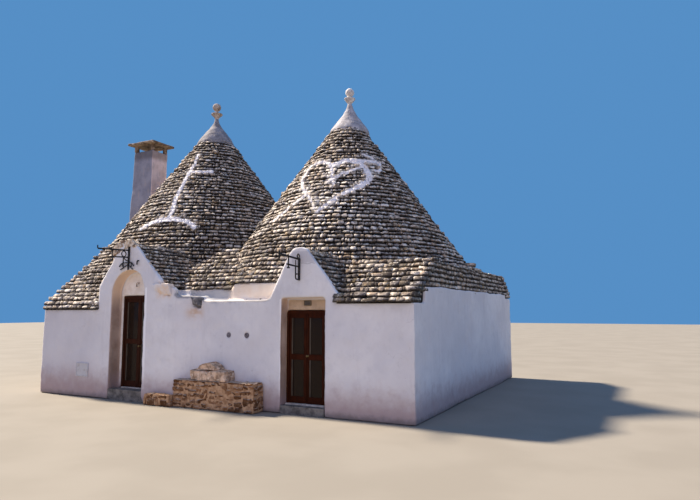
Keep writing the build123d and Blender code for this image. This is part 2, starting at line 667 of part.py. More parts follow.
with BuildPart() as bench_top_stone:
    with BuildSketch(facing(-35)):
        with BuildLine():
            Polyline(xz(-3020, 755), xz(-3050, 800), xz(-2980, 870), xz(-2850, 925), xz(-2740, 930),
                     xz(-2640, 905), xz(-2540, 850), xz(-2495, 795), xz(-2515, 755), close=True)
        make_face()
    extrude(amount=270)
save(bench_top_stone, "bench_top_stone")

with BuildPart() as low_bed:
    with BuildSketch(flat(GROUND)):
        with Locations(pt((-4420 + BENCH_L) / 2, -400)):
            Rectangle(BENCH_L + 4420, 200)
    extrude(amount=240 - GROUND)
save(low_bed, "low_bed")
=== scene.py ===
import json
import math

import bpy
import numpy as np
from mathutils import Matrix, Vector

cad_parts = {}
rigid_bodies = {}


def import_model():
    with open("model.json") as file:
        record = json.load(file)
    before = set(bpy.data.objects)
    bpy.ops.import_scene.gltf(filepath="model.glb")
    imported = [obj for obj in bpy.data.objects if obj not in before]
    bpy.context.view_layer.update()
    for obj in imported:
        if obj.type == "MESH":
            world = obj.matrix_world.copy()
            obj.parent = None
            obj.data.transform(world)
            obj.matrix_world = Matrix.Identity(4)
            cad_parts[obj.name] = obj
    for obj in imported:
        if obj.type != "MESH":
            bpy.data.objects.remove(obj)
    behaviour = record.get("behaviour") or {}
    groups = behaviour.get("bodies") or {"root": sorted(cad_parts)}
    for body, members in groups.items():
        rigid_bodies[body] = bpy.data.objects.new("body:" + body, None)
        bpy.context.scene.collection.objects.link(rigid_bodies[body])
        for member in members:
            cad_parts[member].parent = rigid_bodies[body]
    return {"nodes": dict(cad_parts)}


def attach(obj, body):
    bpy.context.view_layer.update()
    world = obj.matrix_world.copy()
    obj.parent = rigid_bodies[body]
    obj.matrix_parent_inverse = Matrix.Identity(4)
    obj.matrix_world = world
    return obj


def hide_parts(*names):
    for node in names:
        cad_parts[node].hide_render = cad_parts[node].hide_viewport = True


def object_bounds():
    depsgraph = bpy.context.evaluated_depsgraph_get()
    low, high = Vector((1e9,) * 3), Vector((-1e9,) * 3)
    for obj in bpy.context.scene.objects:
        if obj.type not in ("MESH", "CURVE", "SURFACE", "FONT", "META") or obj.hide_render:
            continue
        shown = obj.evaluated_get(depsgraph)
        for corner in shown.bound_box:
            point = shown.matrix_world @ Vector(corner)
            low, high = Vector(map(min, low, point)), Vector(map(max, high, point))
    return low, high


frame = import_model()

CAD_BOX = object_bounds()
NODES = frame["nodes"]
HOUSE = "house"

# Survey metres (zero at the foot of the right jamb of the square doorway) to the row frame.
SX, SY, SZ = 4.05, -3.78, 0.06


def S(x, y, z):
    return (x + SX, y + SY, z + SZ)


# ------------------------------------------------------------------ noise and mesh helpers
_TABLE = np.random.default_rng(7).uniform(-1, 1, 8192)


def vnoise(p, f, seed=0):
    q = np.asarray(p, float) * f + seed * 17.31
    i = np.floor(q).astype(np.int64)
    t = q - i
    t = t * t * (3 - 2 * t)
    out = np.zeros(len(q))
    for dx in (0, 1):
        wx = t[:, 0] if dx else 1 - t[:, 0]
        for dy in (0, 1):
            wy = t[:, 1] if dy else 1 - t[:, 1]
            for dz in (0, 1):
                wz = t[:, 2] if dz else 1 - t[:, 2]
                h = ((i[:, 0] + dx) * 73856093 ^ (i[:, 1] + dy) * 19349663 ^ (i[:, 2] + dz) * 83492791) & 8191
                out += _TABLE[h] * wx * wy * wz
    return out


def fbm(p, f, octaves=3, gain=0.5, seed=0):
    out, a = 0, 1.0
    for k in range(octaves):
        out = out + a * vnoise(p, f * 2**k, seed + k)
        a *= gain
    return out


def build_mesh(name, co, faces):
    """faces is a list of integer arrays (n, k), each with polygons of one size."""
    me = bpy.data.meshes.new(name)
    co = np.ascontiguousarray(co, np.float32)
    me.vertices.add(len(co))
    me.vertices.foreach_set("co", co.ravel())
    faces = [np.asarray(f, np.int32) for f in faces if len(f)]
    loops = np.concatenate([f.ravel() for f in faces])
    sizes = np.concatenate([np.full(len(f), f.shape[1], np.int32) for f in faces])
    starts = np.concatenate([[0], np.cumsum(sizes)[:-1]]).astype(np.int32)
    me.loops.add(len(loops))
    me.loops.foreach_set("vertex_index", loops)
    me.polygons.add(len(sizes))
    me.polygons.foreach_set("loop_start", starts)
    me.update(calc_edges=True)
    me.validate()
    return me


def place(name, me, mat, body=HOUSE, smooth=True):
    ob = bpy.data.objects.new(name, me)
    bpy.context.scene.collection.objects.link(ob)
    if mat is not None:
        me.materials.clear()
        me.materials.append(mat)
    me.polygons.foreach_set("use_smooth", np.full(len(me.polygons), smooth))
    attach(ob, body)
    return ob


def attribute(me, name, values):
    a = me.attributes.new(name, "FLOAT", "POINT")
    a.data.foreach_set("value", np.asarray(values, np.float32))


def bevel(ob, width, segments=2, angle=40):
    m = ob.modifiers.new("Bevel", "BEVEL")
    m.width = width
    m.segments = segments
    m.limit_method = "ANGLE"
    m.angle_limit = math.radians(angle)
    m.use_clamp_overlap = True
    return ob


def evaluated(ob, name):
    bpy.context.view_layer.update()
    dg = bpy.context.evaluated_depsgraph_get()
    me = bpy.data.meshes.new_from_object(ob.evaluated_get(dg), depsgraph=dg)
    me.name = name
    return me


def node_arrays(names):
    """The vertices and triangles of CAD nodes, in one pair of arrays."""
    co, tri, at = [], [], 0
    for n in names:
        me = NODES[n].data
        me.calc_loop_triangles()
        c = np.zeros(len(me.vertices) * 3, np.float32)
        me.vertices.foreach_get("co", c)
        t = np.zeros(len(me.loop_triangles) * 3, np.int32)
        me.loop_triangles.foreach_get("vertices", t)
        co.append(c.reshape(-1, 3))
        tri.append(t.reshape(-1, 3) + at)
        at += len(me.vertices)
    return np.concatenate(co), np.concatenate(tri)


def remeshed(name, co, faces, voxel):
    me = build_mesh(name + "_raw", co, faces)
    ob = bpy.data.objects.new(name + "_raw", me)
    bpy.context.scene.collection.objects.link(ob)
    m = ob.modifiers.new("Remesh", "REMESH")
    m.mode = "VOXEL"
    m.voxel_size = voxel
    out = evaluated(ob, name)
    bpy.data.objects.remove(ob)
    bpy.data.meshes.remove(me)
    return out


def get_co(me):
    co = np.zeros(len(me.vertices) * 3, np.float32)
    me.vertices.foreach_get("co", co)
    return co.reshape(-1, 3).astype(float)


def set_co(me, co):
    me.vertices.foreach_set("co", np.ascontiguousarray(co, np.float32).ravel())
    me.update()


def smooth_co(me, co, times, strength=0.5):
    e = np.zeros(len(me.edges) * 2, np.int32)
    me.edges.foreach_get("vertices", e)
    e = e.reshape(-1, 2)
    n = len(co)
    count = np.bincount(e[:, 0], minlength=n) + np.bincount(e[:, 1], minlength=n)
    count = np.maximum(count, 1)[:, None]
    for _ in range(times):
        total = np.zeros_like(co)
        for k in range(3):
            total[:, k] = np.bincount(e[:, 0], co[e[:, 1], k], minlength=n) + np.bincount(
                e[:, 1], co[e[:, 0], k], minlength=n
            )
        co = co + strength * (total / count - co)
    return co


def normals_of(me):
    n = np.zeros(len(me.vertices) * 3, np.float32)
    me.vertex_normals.foreach_get("vector", n)
    return n.reshape(-1, 3).astype(float)


def decimated(me, name, ratio):
    ob = bpy.data.objects.new(name + "_dec", me)
    bpy.context.scene.collection.objects.link(ob)
    m = ob.modifiers.new("Decimate", "DECIMATE")
    m.ratio = ratio
    m.use_collapse_triangulate = True
    out = evaluated(ob, name)
    bpy.data.objects.remove(ob)
    bpy.data.meshes.remove(me)
    return out


def roughen(name, nodes, voxel, mat, smooth=2, amps=((3.0, 0.01), (12.0, 0.004)), ratio=None, body=HOUSE, co=None, faces=None, ground=True, bias=0.0):
    """CAD nodes, or given arrays, remeshed, softened and made uneven by hand."""
    if co is None:
        c, t = node_arrays(nodes)
        faces = [t]
    else:
        c = co
    me = remeshed(name, c, faces, voxel)
    co = smooth_co(me, get_co(me), smooth)
    set_co(me, co)
    nrm = normals_of(me)
    d = np.full(len(co), -bias)
    for k, (f, a) in enumerate(amps):
        d += a * vnoise(co, f, 31 + k)
    co = co + nrm * d[:, None]
    if ground:
        co[:, 2] = np.maximum(co[:, 2], 0.0)
    set_co(me, co)
    if ratio:
        me = decimated(me, name, ratio)
    ob = place(name, me, mat, body)
    if nodes:
        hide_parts(*nodes)
    return ob


# ------------------------------------------------------------------ materials
class Mat:
    def __init__(self, name):
        self.m = bpy.data.materials.new(name)
        self.m.use_nodes = True
        self.t = self.m.node_tree
        self.t.nodes.clear()
        self.out = self.t.nodes.new("ShaderNodeOutputMaterial")
        self.b = self.t.nodes.new("ShaderNodeBsdfPrincipled")
        self.t.links.new(self.b.outputs[0], self.out.inputs["Surface"])
        self.co = self.t.nodes.new("ShaderNodeTexCoord").outputs["Object"]

    def put(self, socket, value):
        if isinstance(value, bpy.types.NodeSocket):
            self.t.links.new(value, socket)
        elif isinstance(value, (tuple, list)) and socket.type == "RGBA" and len(value) == 3:
            socket.default_value = (*value, 1)
        else:
            socket.default_value = value

    def set(self, **sockets):
        for k, v in sockets.items():
            self.put(self.b.inputs[k.replace("_", " ")], v)
        return self

    def noise(self, scale, detail=4.0, rough=0.5, vec=None, stretch=None, distortion=0.0):
        n = self.t.nodes.new("ShaderNodeTexNoise")
        v = self.co if vec is None else vec
        if stretch is not None:
            mp = self.t.nodes.new("ShaderNodeMapping")
            mp.inputs["Scale"].default_value = stretch
            self.t.links.new(v, mp.inputs["Vector"])
            v = mp.outputs[0]
        self.t.links.new(v, n.inputs["Vector"])
        n.inputs["Scale"].default_value = scale
        n.inputs["Detail"].default_value = detail
        n.inputs["Roughness"].default_value = rough
        n.inputs["Distortion"].default_value = distortion
        return n.outputs[0]

    def voronoi(self, scale, feature="F1", output="Distance", vec=None):
        n = self.t.nodes.new("ShaderNodeTexVoronoi")
        n.feature = feature
        self.t.links.new(self.co if vec is None else vec, n.inputs["Vector"])
        n.inputs["Scale"].default_value = scale
        return n.outputs[output]

    def ramp(self, fac, stops):
        n = self.t.nodes.new("ShaderNodeValToRGB")
        e = n.color_ramp.elements
        while len(e) < len(stops):
            e.new(0.5)
        for s, (p, c) in zip(e, stops):
            s.position = p
            s.color = (*c, 1) if len(c) == 3 else c
        self.put(n.inputs[0], fac)
        return n.outputs[0]

    def mix(self, fac, a, b, blend="MIX"):
        n = self.t.nodes.new("ShaderNodeMix")
        n.data_type = "RGBA"
        n.blend_type = blend
        self.put(n.inputs[0], fac)
        self.put(n.inputs[6], a)
        self.put(n.inputs[7], b)
        return n.outputs[2]

    def math(self, op, a, b=None, c=None, clamp=False):
        n = self.t.nodes.new("ShaderNodeMath")
        n.operation = op
        n.use_clamp = clamp
        self.put(n.inputs[0], a)
        if b is not None:
            self.put(n.inputs[1], b)
        if c is not None:
            self.put(n.inputs[2], c)
        return n.outputs[0]

    def vmath(self, op, a, b=None, out=0):
        n = self.t.nodes.new("ShaderNodeVectorMath")
        n.operation = op
        self.put(n.inputs[0], a)
        if b is not None:
            self.put(n.inputs[1], b)
        return n.outputs[out]

    def vscale(self, a, s):
        n = self.t.nodes.new("ShaderNodeVectorMath")
        n.operation = "SCALE"
        self.put(n.inputs[0], a)
        self.put(n.inputs["Scale"], s)
        return n.outputs[0]

    def remap(self, v, a, b, c=0.0, d=1.0, smooth=True):
        n = self.t.nodes.new("ShaderNodeMapRange")
        n.interpolation_type = "SMOOTHSTEP" if smooth else "LINEAR"
        n.clamp = True
        self.put(n.inputs[0], v)
        for k, x in zip((1, 2, 3, 4), (a, b, c, d)):
            self.put(n.inputs[k], x)
        return n.outputs[0]

    def axis(self, which, vec=None):
        n = self.t.nodes.new("ShaderNodeSeparateXYZ")
        self.put(n.inputs[0], self.co if vec is None else vec)
        return n.outputs["XYZ".index(which)]

    def attr(self, name):
        n = self.t.nodes.new("ShaderNodeAttribute")
        n.attribute_type = "GEOMETRY"
        n.attribute_name = name
        return n.outputs["Fac"]

    def facing(self, which):
        g = self.t.nodes.new("ShaderNodeNewGeometry")
        return self.axis(which, g.outputs["Normal"])

    def bump(self, height, strength=0.5, distance=0.01, normal=None):
        n = self.t.nodes.new("ShaderNodeBump")
        n.inputs["Strength"].default_value = strength
        n.inputs["Distance"].default_value = distance
        self.put(n.inputs["Height"], height)
        if normal is not None:
            self.put(n.inputs["Normal"], normal)
        return n.outputs[0]

    def box(self, lo, hi, soft=0.05):
        """1 inside a box in survey metres, fading over soft."""
        lo, hi = S(*lo), S(*hi)
        out = None
        for k, ax in enumerate("XYZ"):
            v = self.axis(ax)
            f = self.math(
                "MULTIPLY",
                self.remap(v, lo[k] - soft, lo[k] + soft),
                self.remap(v, hi[k] - soft, hi[k] + soft, 1.0, 0.0),
            )
            out = f if out is None else self.math("MULTIPLY", out, f)
        return out

    def polyline(self, lines):
        """The distance to lines of points in the row frame, less each line's own half width."""
        best = None
        for half, pts in lines:
            for a, b in zip(pts[:-1], pts[1:]):
                ab = np.subtract(b, a)
                pa = self.vmath("SUBTRACT", self.co, tuple(float(v) for v in a))
                t = self.math("ADD", self.vmath("DOT_PRODUCT", pa, tuple(float(v) for v in ab / (ab @ ab)), out=1), 0.0, clamp=True)
                d = self.vmath("LENGTH", self.vmath("SUBTRACT", pa, self.vscale(tuple(float(v) for v in ab), t)), out=1)
                d = self.math("SUBTRACT", d, half)
                best = d if best is None else self.math("MINIMUM", best, d)
        return best


def spline(points, n=28):
    """Points along a smooth Catmull-Rom line."""
    p = np.array(points, float)
    t = np.concatenate([[0], np.cumsum(np.linalg.norm(np.diff(p, axis=0), axis=1))])
    out = []
    for v in np.linspace(0, t[-1], n):
        i = min(int(np.searchsorted(t, v, "right")) - 1, len(p) - 2)
        u = (v - t[i]) / (t[i + 1] - t[i])
        p0, p1, p2, p3 = p[max(i - 1, 0)], p[i], p[i + 1], p[min(i + 2, len(p) - 1)]
        out.append(0.5 * ((2 * p1) + (-p0 + p2) * u + (2 * p0 - 5 * p1 + 4 * p2 - p3) * u**2 + (-p0 + 3 * p1 - 3 * p2 + p3) * u**3))
    return [tuple(v) for v in out]


# Traditional lime marks on the roofs, in metres: half width and the points of each stroke.
MARKS_LEFT = [
    (0.062, [(-2.472, -0.425, 6.978), (-2.372, -0.7, 6.58), (-2.37, -0.951, 6.241), (-2.298, -1.264, 5.8), (-2.251, -1.542, 5.411), (-2.106, -1.795, 5.031), (-2.043, -2.002, 4.734)]),
    (0.060, [(-2.42, -0.901, 6.32), (-2.037, -0.794, 6.316), (-1.736, -0.598, 6.341)]),
    (0.080, spline([(-2.80, -2.275, 4.44), (-2.675, -2.205, 4.549), (-2.386, -2.114, 4.656), (-1.949, -2.018, 4.681), (-1.577, -1.935, 4.623), (-1.278, -1.895, 4.494), (-1.18, -1.918, 4.4)], 9)),
]
MARKS_RIGHT = [
    (0.05, [(2.647, -0.906, 5.907), (2.525, -0.833, 6.03), (2.305, -0.787, 6.102), (2.092, -0.757, 6.105), (1.927, -0.764, 6.035), (1.831, -0.839, 5.892), (1.809, -0.963, 5.719), (1.847, -1.114, 5.536), (1.987, -1.304, 5.327)]),
    (0.052, spline([(1.987, -1.304, 5.327), (2.147, -1.436, 5.179), (2.345, -1.582, 4.994), (2.536, -1.722, 4.791), (2.773, -1.901, 4.506)], 3)),
    (0.078, [(2.61, -0.888, 5.939), (2.753, -0.803, 6.015), (2.892, -0.708, 6.082), (3.084, -0.607, 6.095), (3.279, -0.548, 6.012), (3.442, -0.541, 5.873)]),
    (0.088, [(3.442, -0.541, 5.873), (3.58, -0.605, 5.675), (3.639, -0.691, 5.531), (3.627, -0.859, 5.368), (3.516, -1.044, 5.256)]),
    (0.074, spline([(3.516, -1.044, 5.256), (3.36, -1.257, 5.113), (3.2, -1.438, 4.975), (3.036, -1.604, 4.831), (2.912, -1.746, 4.683), (2.78, -1.891, 4.518)], 5)),
    (0.066, [(3.086, -0.611, 6.089), (3.336, -0.43, 6.086), (3.542, -0.196, 6.087), (3.636, -0.053, 6.08)]),
    (0.052, spline([(2.706, -1.249, 5.42), (2.824, -1.128, 5.55), (3.086, -0.926, 5.696), (3.325, -0.646, 5.863), (3.423, -0.499, 5.933)], 4)),
    (0.04, [(2.621, -0.908, 5.909), (2.745, -1.081, 5.64), (2.795, -1.196, 5.468), (2.938, -1.297, 5.281)]),
    (0.052, spline([(2.257, -1.505, 5.098), (2.138, -1.552, 5.018), (1.899, -1.684, 4.783), (1.679, -1.762, 4.601), (1.441, -1.815, 4.425)], 3)),
    (0.05, [(3.278, -0.269, 6.305), (3.437, -0.144, 6.249), (3.546, -0.104, 6.153), (3.658, -0.04, 6.06)]),
    (0.046, [(3.625, -0.059, 6.09), (3.698, 0.192, 6.135)]),
    (0.056, [(3.671, -0.003, 6.067), (3.738, -0.174, 5.873), (3.741, -0.316, 5.763), (3.685, -0.344, 5.804)]),
]

# The two cones, in survey metres; each is a little flat on one flank, where the courses run straighter.
# the last entries of each cone lighten or darken the stones' tint on whole flanks, as painted light and painted shade
CONES = {
    "left": dict(x=-6.70, y=4.40, tip=8.35, k=math.tan(math.radians(36.0)), cut=7.58, weather=((-0.95, -0.30, 0.42, 3.0, 8.0), (0.20, -0.98, -0.26, 0.0, 4.7))),
    "right": dict(x=-1.67, y=4.40, tip=8.01, k=math.tan(math.radians(35.6)), cut=7.26, weather=((0.10, -0.995, 0.30, 3.9, 6.0), (-0.75, -0.66, -0.26, 0.0, 3.9), (0.95, -0.30, 0.10, 0.0, 8.0))),
}
FLAT = {"left": ((-0.890, -0.456), 0.045), "right": ((0.890, 0.456), 0.112)}


def flattened(v, side):
    cone = CONES[side]
    v = np.array(v, float)
    d = v[:, :2] - np.array([cone["x"] + SX, cone["y"] + SY])
    way, depth = np.array(FLAT[side][0]), FLAT[side][1]
    w = np.clip(d @ way / np.maximum(np.linalg.norm(d, axis=1), 0.01), 0, 1) ** 1.3
    v[:, :2] -= (w * depth)[:, None] * way
    return v


def roof_stone(name, marks=None, olive=0.0):
    m = Mat(name)
    tint, hue, foot = m.attr("tint"), m.attr("hue"), m.attr("foot")
    grain = m.noise(8.0, 6, 0.62)
    body = m.ramp(
        tint,
        [
            (0.0, (0.080, 0.062, 0.050)),
            (0.25, (0.205, 0.168, 0.138)),
            (0.55, (0.430, 0.368, 0.312)),
            (0.80, (0.650, 0.575, 0.498)),
            (1.0, (0.820, 0.760, 0.700)),
        ],
    )
    warm = m.mix(m.remap(hue, 0.45, 1.0, 0.0, 0.55), body, (0.47, 0.33, 0.22))
    cool = m.mix(m.remap(hue, 0.0, 0.3, 0.35, 0.0), warm, (0.36, 0.35, 0.40))
    dirt_and_shade = m.mix(m.remap(grain, 0.40, 0.58, 0.80, 0.0), cool, (0.055, 0.044, 0.038))
    # grime held in the joints under each stone, and painted shade at the foot of each stone, in the gap under it
    joint_grime_and_shade = m.remap(m.math("ADD", foot, m.math("MULTIPLY", m.math("SUBTRACT", m.noise(19.0, 4, 0.6), 0.5), 0.9)), 0.46, 0.90, 0.0, 0.96)
    dirt_and_shade = m.mix(joint_grime_and_shade, dirt_and_shade, (0.035, 0.028, 0.024))
    lichen = m.math(
        "MULTIPLY",
        m.remap(m.noise(12.0, 5, 0.65), 0.52, 0.63),
        m.remap(foot, 0.2, 0.9, 1.0, 0.15),
    )
    pale = m.mix(m.math("MULTIPLY", lichen, 0.80), dirt_and_shade, (0.86, 0.79, 0.71))
    colour = m.mix(
        m.math("MULTIPLY", m.remap(m.noise(3.1, 3, 0.5), 0.57, 0.68), m.remap(m.noise(23.0, 3, 0.5), 0.5, 0.62, 0.0, 0.65)),
        pale,
        (0.45, 0.30 + 0.04 * olive, 0.13 + 0.03 * olive),
    )
    rough = m.remap(grain, 0.3, 0.7, 0.86, 0.98)
    if marks:
        d = m.polyline(marks)
        edge = m.math("ADD", d, m.math("MULTIPLY", m.math("SUBTRACT", m.noise(9.0, 4, 0.6), 0.5), 0.09))
        paint = m.remap(edge, -0.012, 0.016, 1.0, 0.0)
        worn = m.math("MULTIPLY", paint, m.remap(m.noise(20.0, 5, 0.65), 0.31, 0.43, 0.55, 1.0))
        lime = m.mix(m.remap(m.noise(14.0, 4, 0.6), 0.35, 0.7), (0.74, 0.71, 0.73), (0.92, 0.90, 0.92))
        colour = m.mix(worn, colour, lime)
    fine = m.noise(60.0, 6, 0.65)
    chips = m.voronoi(34.0)
    h = m.math("ADD", m.math("MULTIPLY", fine, 0.6), m.math("MULTIPLY", chips, 0.5))
    m.set(Base_Color=colour, Roughness=rough, Specular_IOR_Level=0.25, Normal=m.bump(h, 0.75, 0.012))
    return m.m


# near-black cores under the roof stones: painted shade for the deep gaps between them
def gap_shade(name):
    m = Mat(name)
    n = m.noise(9.0, 5, 0.6)
    c = m.ramp(n, [(0.3, (0.012, 0.010, 0.009)), (0.7, (0.050, 0.041, 0.035))])
    m.set(Base_Color=c, Roughness=0.97, Specular_IOR_Level=0.15, Normal=m.bump(m.noise(45.0, 5, 0.6), 0.7, 0.015))
    return m.m


def limewash(name):
    m = Mat(name)
    z = m.axis("Z")
    broad = m.noise(0.9, 4, 0.55)
    mid = m.noise(4.5, 5, 0.6)
    c = m.mix(m.remap(broad, 0.35, 0.68), (0.690, 0.668, 0.690), (0.790, 0.768, 0.780))
    # the far left of the front is greyer: painted shade
    c = m.mix(m.math("MULTIPLY", m.box((-9.0, -0.45, 0.0), (-6.45, -0.20, 2.4), 0.45), 0.85), c, (0.460, 0.442, 0.488))
    dull = m.box((-9.0, -0.45, 0.0), (-5.97, -0.20, 0.70), 0.45)
    c = m.mix(m.math("MULTIPLY", dull, 0.55), c, (0.400, 0.310, 0.325))
    c = m.mix(m.remap(mid, 0.48, 0.72, 0.0, 0.30), c, (0.590, 0.572, 0.600))
    # brushed coats that run down the wall
    drips = m.noise(2.2, 4, 0.6, stretch=(3.2, 3.2, 0.35))
    c = m.mix(m.remap(drips, 0.55, 0.75, 0.0, 0.25), c, (0.52, 0.495, 0.525))
    # soft grey rain stains under the eaves
    streak = m.math("MULTIPLY", m.remap(m.noise(3.0, 4, 0.6, stretch=(1.4, 1.4, 0.5)), 0.55, 0.72), m.remap(z, 1.15, 2.5, 0.0, 0.22))
    c = m.mix(streak, c, (0.44, 0.41, 0.43))
    # the returns of the two doorways: lime darkened by hands and rain, and painted shade on the recesses' side faces,
    # darker low down
    side = m.remap(m.math("ABSOLUTE", m.facing("X")), 0.45, 0.80)
    deep = m.box((-5.90, -0.280, 0.0), (-4.60, 0.010, 3.2), 0.012)
    deep = m.math("MAXIMUM", deep, m.box((-1.10, 0.015, 0.0), (0.04, 0.235, 2.35), 0.012))
    shade = m.mix(m.remap(m.noise(2.4, 4, 0.6), 0.3, 0.7), (0.345, 0.218, 0.155), (0.520, 0.372, 0.295))
    shade = m.mix(m.remap(z, 0.3, 1.6, 0.65, 0.0), shade, (0.205, 0.118, 0.082))
    c = m.mix(m.math("MULTIPLY", m.math("MULTIPLY", deep, side), 0.92), c, shade)
    # painted warm bounce light on the underside of the arch, over the arched door
    arch = m.math("MULTIPLY", m.math("MULTIPLY", deep, m.remap(m.facing("Y"), -0.75, -0.45)), m.remap(z, 2.10, 2.62))
    c = m.mix(m.math("MULTIPLY", arch, 0.88), c, (0.86, 0.64, 0.47))
    # plaster behind the openings, over and beside the doors: painted warm bounce light on the cream over the arched
    # door, and painted shade with warm bounce light on the brown in the square door's recess
    back = m.box((-5.90, 0.004, 0.0), (-4.60, 0.45, 3.2), 0.010)
    c = m.mix(m.math("MULTIPLY", back, 0.85), c, m.mix(m.remap(mid, 0.35, 0.65), (0.76, 0.68, 0.60), (0.90, 0.84, 0.78)))
    back = m.box((-1.10, 0.225, 0.0), (0.04, 0.45, 2.35), 0.010)
    c = m.mix(m.math("MULTIPLY", back, 0.9), c, m.mix(m.remap(mid, 0.35, 0.65), (0.42, 0.285, 0.172), (0.585, 0.415, 0.26)))
    # painted light and shade on the eaves: sunlit cream over bluish shade along the band left of the raised eaves,
    # sunlit cream on the raised eaves, and painted warm bounce light under the spout and under the shoulder slab
    sunlit_cream = m.mix(m.remap(m.noise(1.7, 4, 0.6), 0.3, 0.7), (0.72, 0.575, 0.45), (0.82, 0.72, 0.62))
    band = m.box((-4.10, 0.20, 2.28), (-2.66, 0.60, 2.62), 0.05)
    sun_and_shade_tone = m.mix(m.remap(m.math("ADD", z, m.math("MULTIPLY", m.math("SUBTRACT", m.noise(4.0, 4, 0.6), 0.5), 0.16)), 2.54, 2.66), (0.36, 0.365, 0.39), (0.58, 0.45, 0.33))
    c = m.mix(m.math("MULTIPLY", band, 0.85), c, sun_and_shade_tone)
    # painted sunlight on the raised eaves
    warm = m.box((-2.70, 0.10, 2.30), (-1.25, 0.60, 2.80), 0.06)
    c = m.mix(m.math("MULTIPLY", warm, m.remap(m.noise(3.0, 3, 0.5), 0.25, 0.65, 0.55, 0.95)), c, sunlit_cream)
    # painted warm bounce light under the spout
    warm = m.box((-3.50, -0.32, 1.90), (-3.20, 0.10, 2.14), 0.13)
    c = m.mix(m.math("MULTIPLY", warm, m.remap(m.noise(6.0, 4, 0.6), 0.35, 0.6, 0.25, 0.9)), c, (0.60, 0.42, 0.29))
    # painted warm bounce light under the shoulder slab
    warm = m.box((-4.30, -0.42, 2.36), (-3.86, -0.08, 2.72), 0.09)
    c = m.mix(m.math("MULTIPLY", warm, m.remap(m.noise(5.0, 4, 0.6), 0.35, 0.6, 0.30, 0.95)), c, (0.78, 0.56, 0.38))
    # painted highlights on the arrises beside the doors
    arris_highlight = m.box((-4.688, -0.42, 0.24), (-4.628, -0.22, 2.60), 0.008)
    arris_highlight = m.math("MAXIMUM", arris_highlight, m.box((-0.020, -0.12, 0.16), (0.022, 0.03, 2.30), 0.006))
    arris_highlight = m.math("MAXIMUM", arris_highlight, m.box((-1.078, -0.12, 0.16), (-1.054, 0.02, 2.30), 0.006))
    c = m.mix(m.math("MULTIPLY", arris_highlight, m.remap(m.noise(7.0, 3, 0.5), 0.25, 0.45, 0.45, 0.9)), c, (0.93, 0.92, 0.94))
    # cement patch and its crack at the top of the square gable
    patch = m.box((-0.80, -0.12, 3.055), (-0.22, 0.10, 3.30), 0.02)
    c = m.mix(m.math("MULTIPLY", patch, 0.65), c, (0.52, 0.50, 0.53))
    line = m.math("ADD", z, m.math("MULTIPLY", m.math("SUBTRACT", m.noise(4.0, 5, 0.6), 0.5), 0.16))
    crack = m.math("MULTIPLY", m.remap(m.math("ABSOLUTE", m.math("SUBTRACT", line, 3.045 + SZ)), 0.004, 0.012, 1.0, 0.0), m.box((-0.78, -0.12, 2.9), (-0.20, 0.10, 3.2), 0.04))
    c = m.mix(m.math("MULTIPLY", crack, 0.40), c, (0.26, 0.24, 0.25))
    # greyer, darker lime on the left party wall
    old = m.math("MULTIPLY", m.box((-10.30, 0.12, -0.20), (-8.20, 8.90, 3.20), 0.06), m.remap(m.noise(1.6, 4, 0.6), 0.30, 0.70, 0.72, 0.92))
    c = m.mix(old, c, (0.400, 0.375, 0.350))
    # the upward-facing top of the low wall is darker
    top = m.math("MULTIPLY", m.box((-3.95, -0.42, 2.15), (-1.25, 0.05, 2.50), 0.05), m.remap(m.facing("Z"), -0.02, 0.32, 0.0, 0.85))
    c = m.mix(top, c, (0.27, 0.255, 0.26))
    # splash and grime near the ground
    low = m.remap(m.math("ADD", z, m.math("MULTIPLY", m.math("SUBTRACT", mid, 0.5), 0.55)), 0.10, 0.85, 1.0, 0.0)
    c = m.mix(m.math("MULTIPLY", low, 0.85), c, (0.365, 0.262, 0.262))
    foot = m.remap(m.math("ADD", z, m.math("MULTIPLY", m.math("SUBTRACT", m.noise(8.0, 4, 0.6), 0.5), 0.18)), 0.01, 0.16, 1.0, 0.0)
    c = m.mix(m.math("MULTIPLY", foot, 0.65), c, (0.16, 0.135, 0.125))
    # fine cracks and flaked spots
    flake = m.math("MULTIPLY", m.remap(m.noise(16.0, 5, 0.7), 0.66, 0.70), m.remap(m.noise(2.6, 2, 0.5), 0.52, 0.62))
    c = m.mix(m.math("MULTIPLY", flake, 0.55), c, (0.40, 0.34, 0.30))
    crack = m.voronoi(1.7, "DISTANCE_TO_EDGE", vec=m.vmath("ADD", m.co, m.vscale(m.combine(m.noise(3.0, 4, 0.6)), 0.35)))
    crack = m.math("MULTIPLY", m.remap(crack, 0.0, 0.006, 1.0, 0.0), m.remap(m.noise(1.3, 2, 0.5), 0.52, 0.62))
    c = m.mix(m.math("MULTIPLY", crack, 0.35), c, (0.36, 0.33, 0.34))
    h = m.math("ADD", m.math("MULTIPLY", m.noise(38.0, 6, 0.6), 0.5), m.math("MULTIPLY", m.noise(9.0, 4, 0.5, stretch=(1, 1, 0.5)), 1.0))
    m.set(Base_Color=c, Roughness=m.remap(mid, 0.3, 0.7, 0.80, 0.95), Specular_IOR_Level=0.22, Normal=m.bump(h, 0.42, 0.018))
    return m.m


def _combine(self, v):
    n = self.t.nodes.new("ShaderNodeCombineXYZ")
    for k in range(3):
        self.put(n.inputs[k], v)
    return n.outputs[0]


Mat.combine = _combine


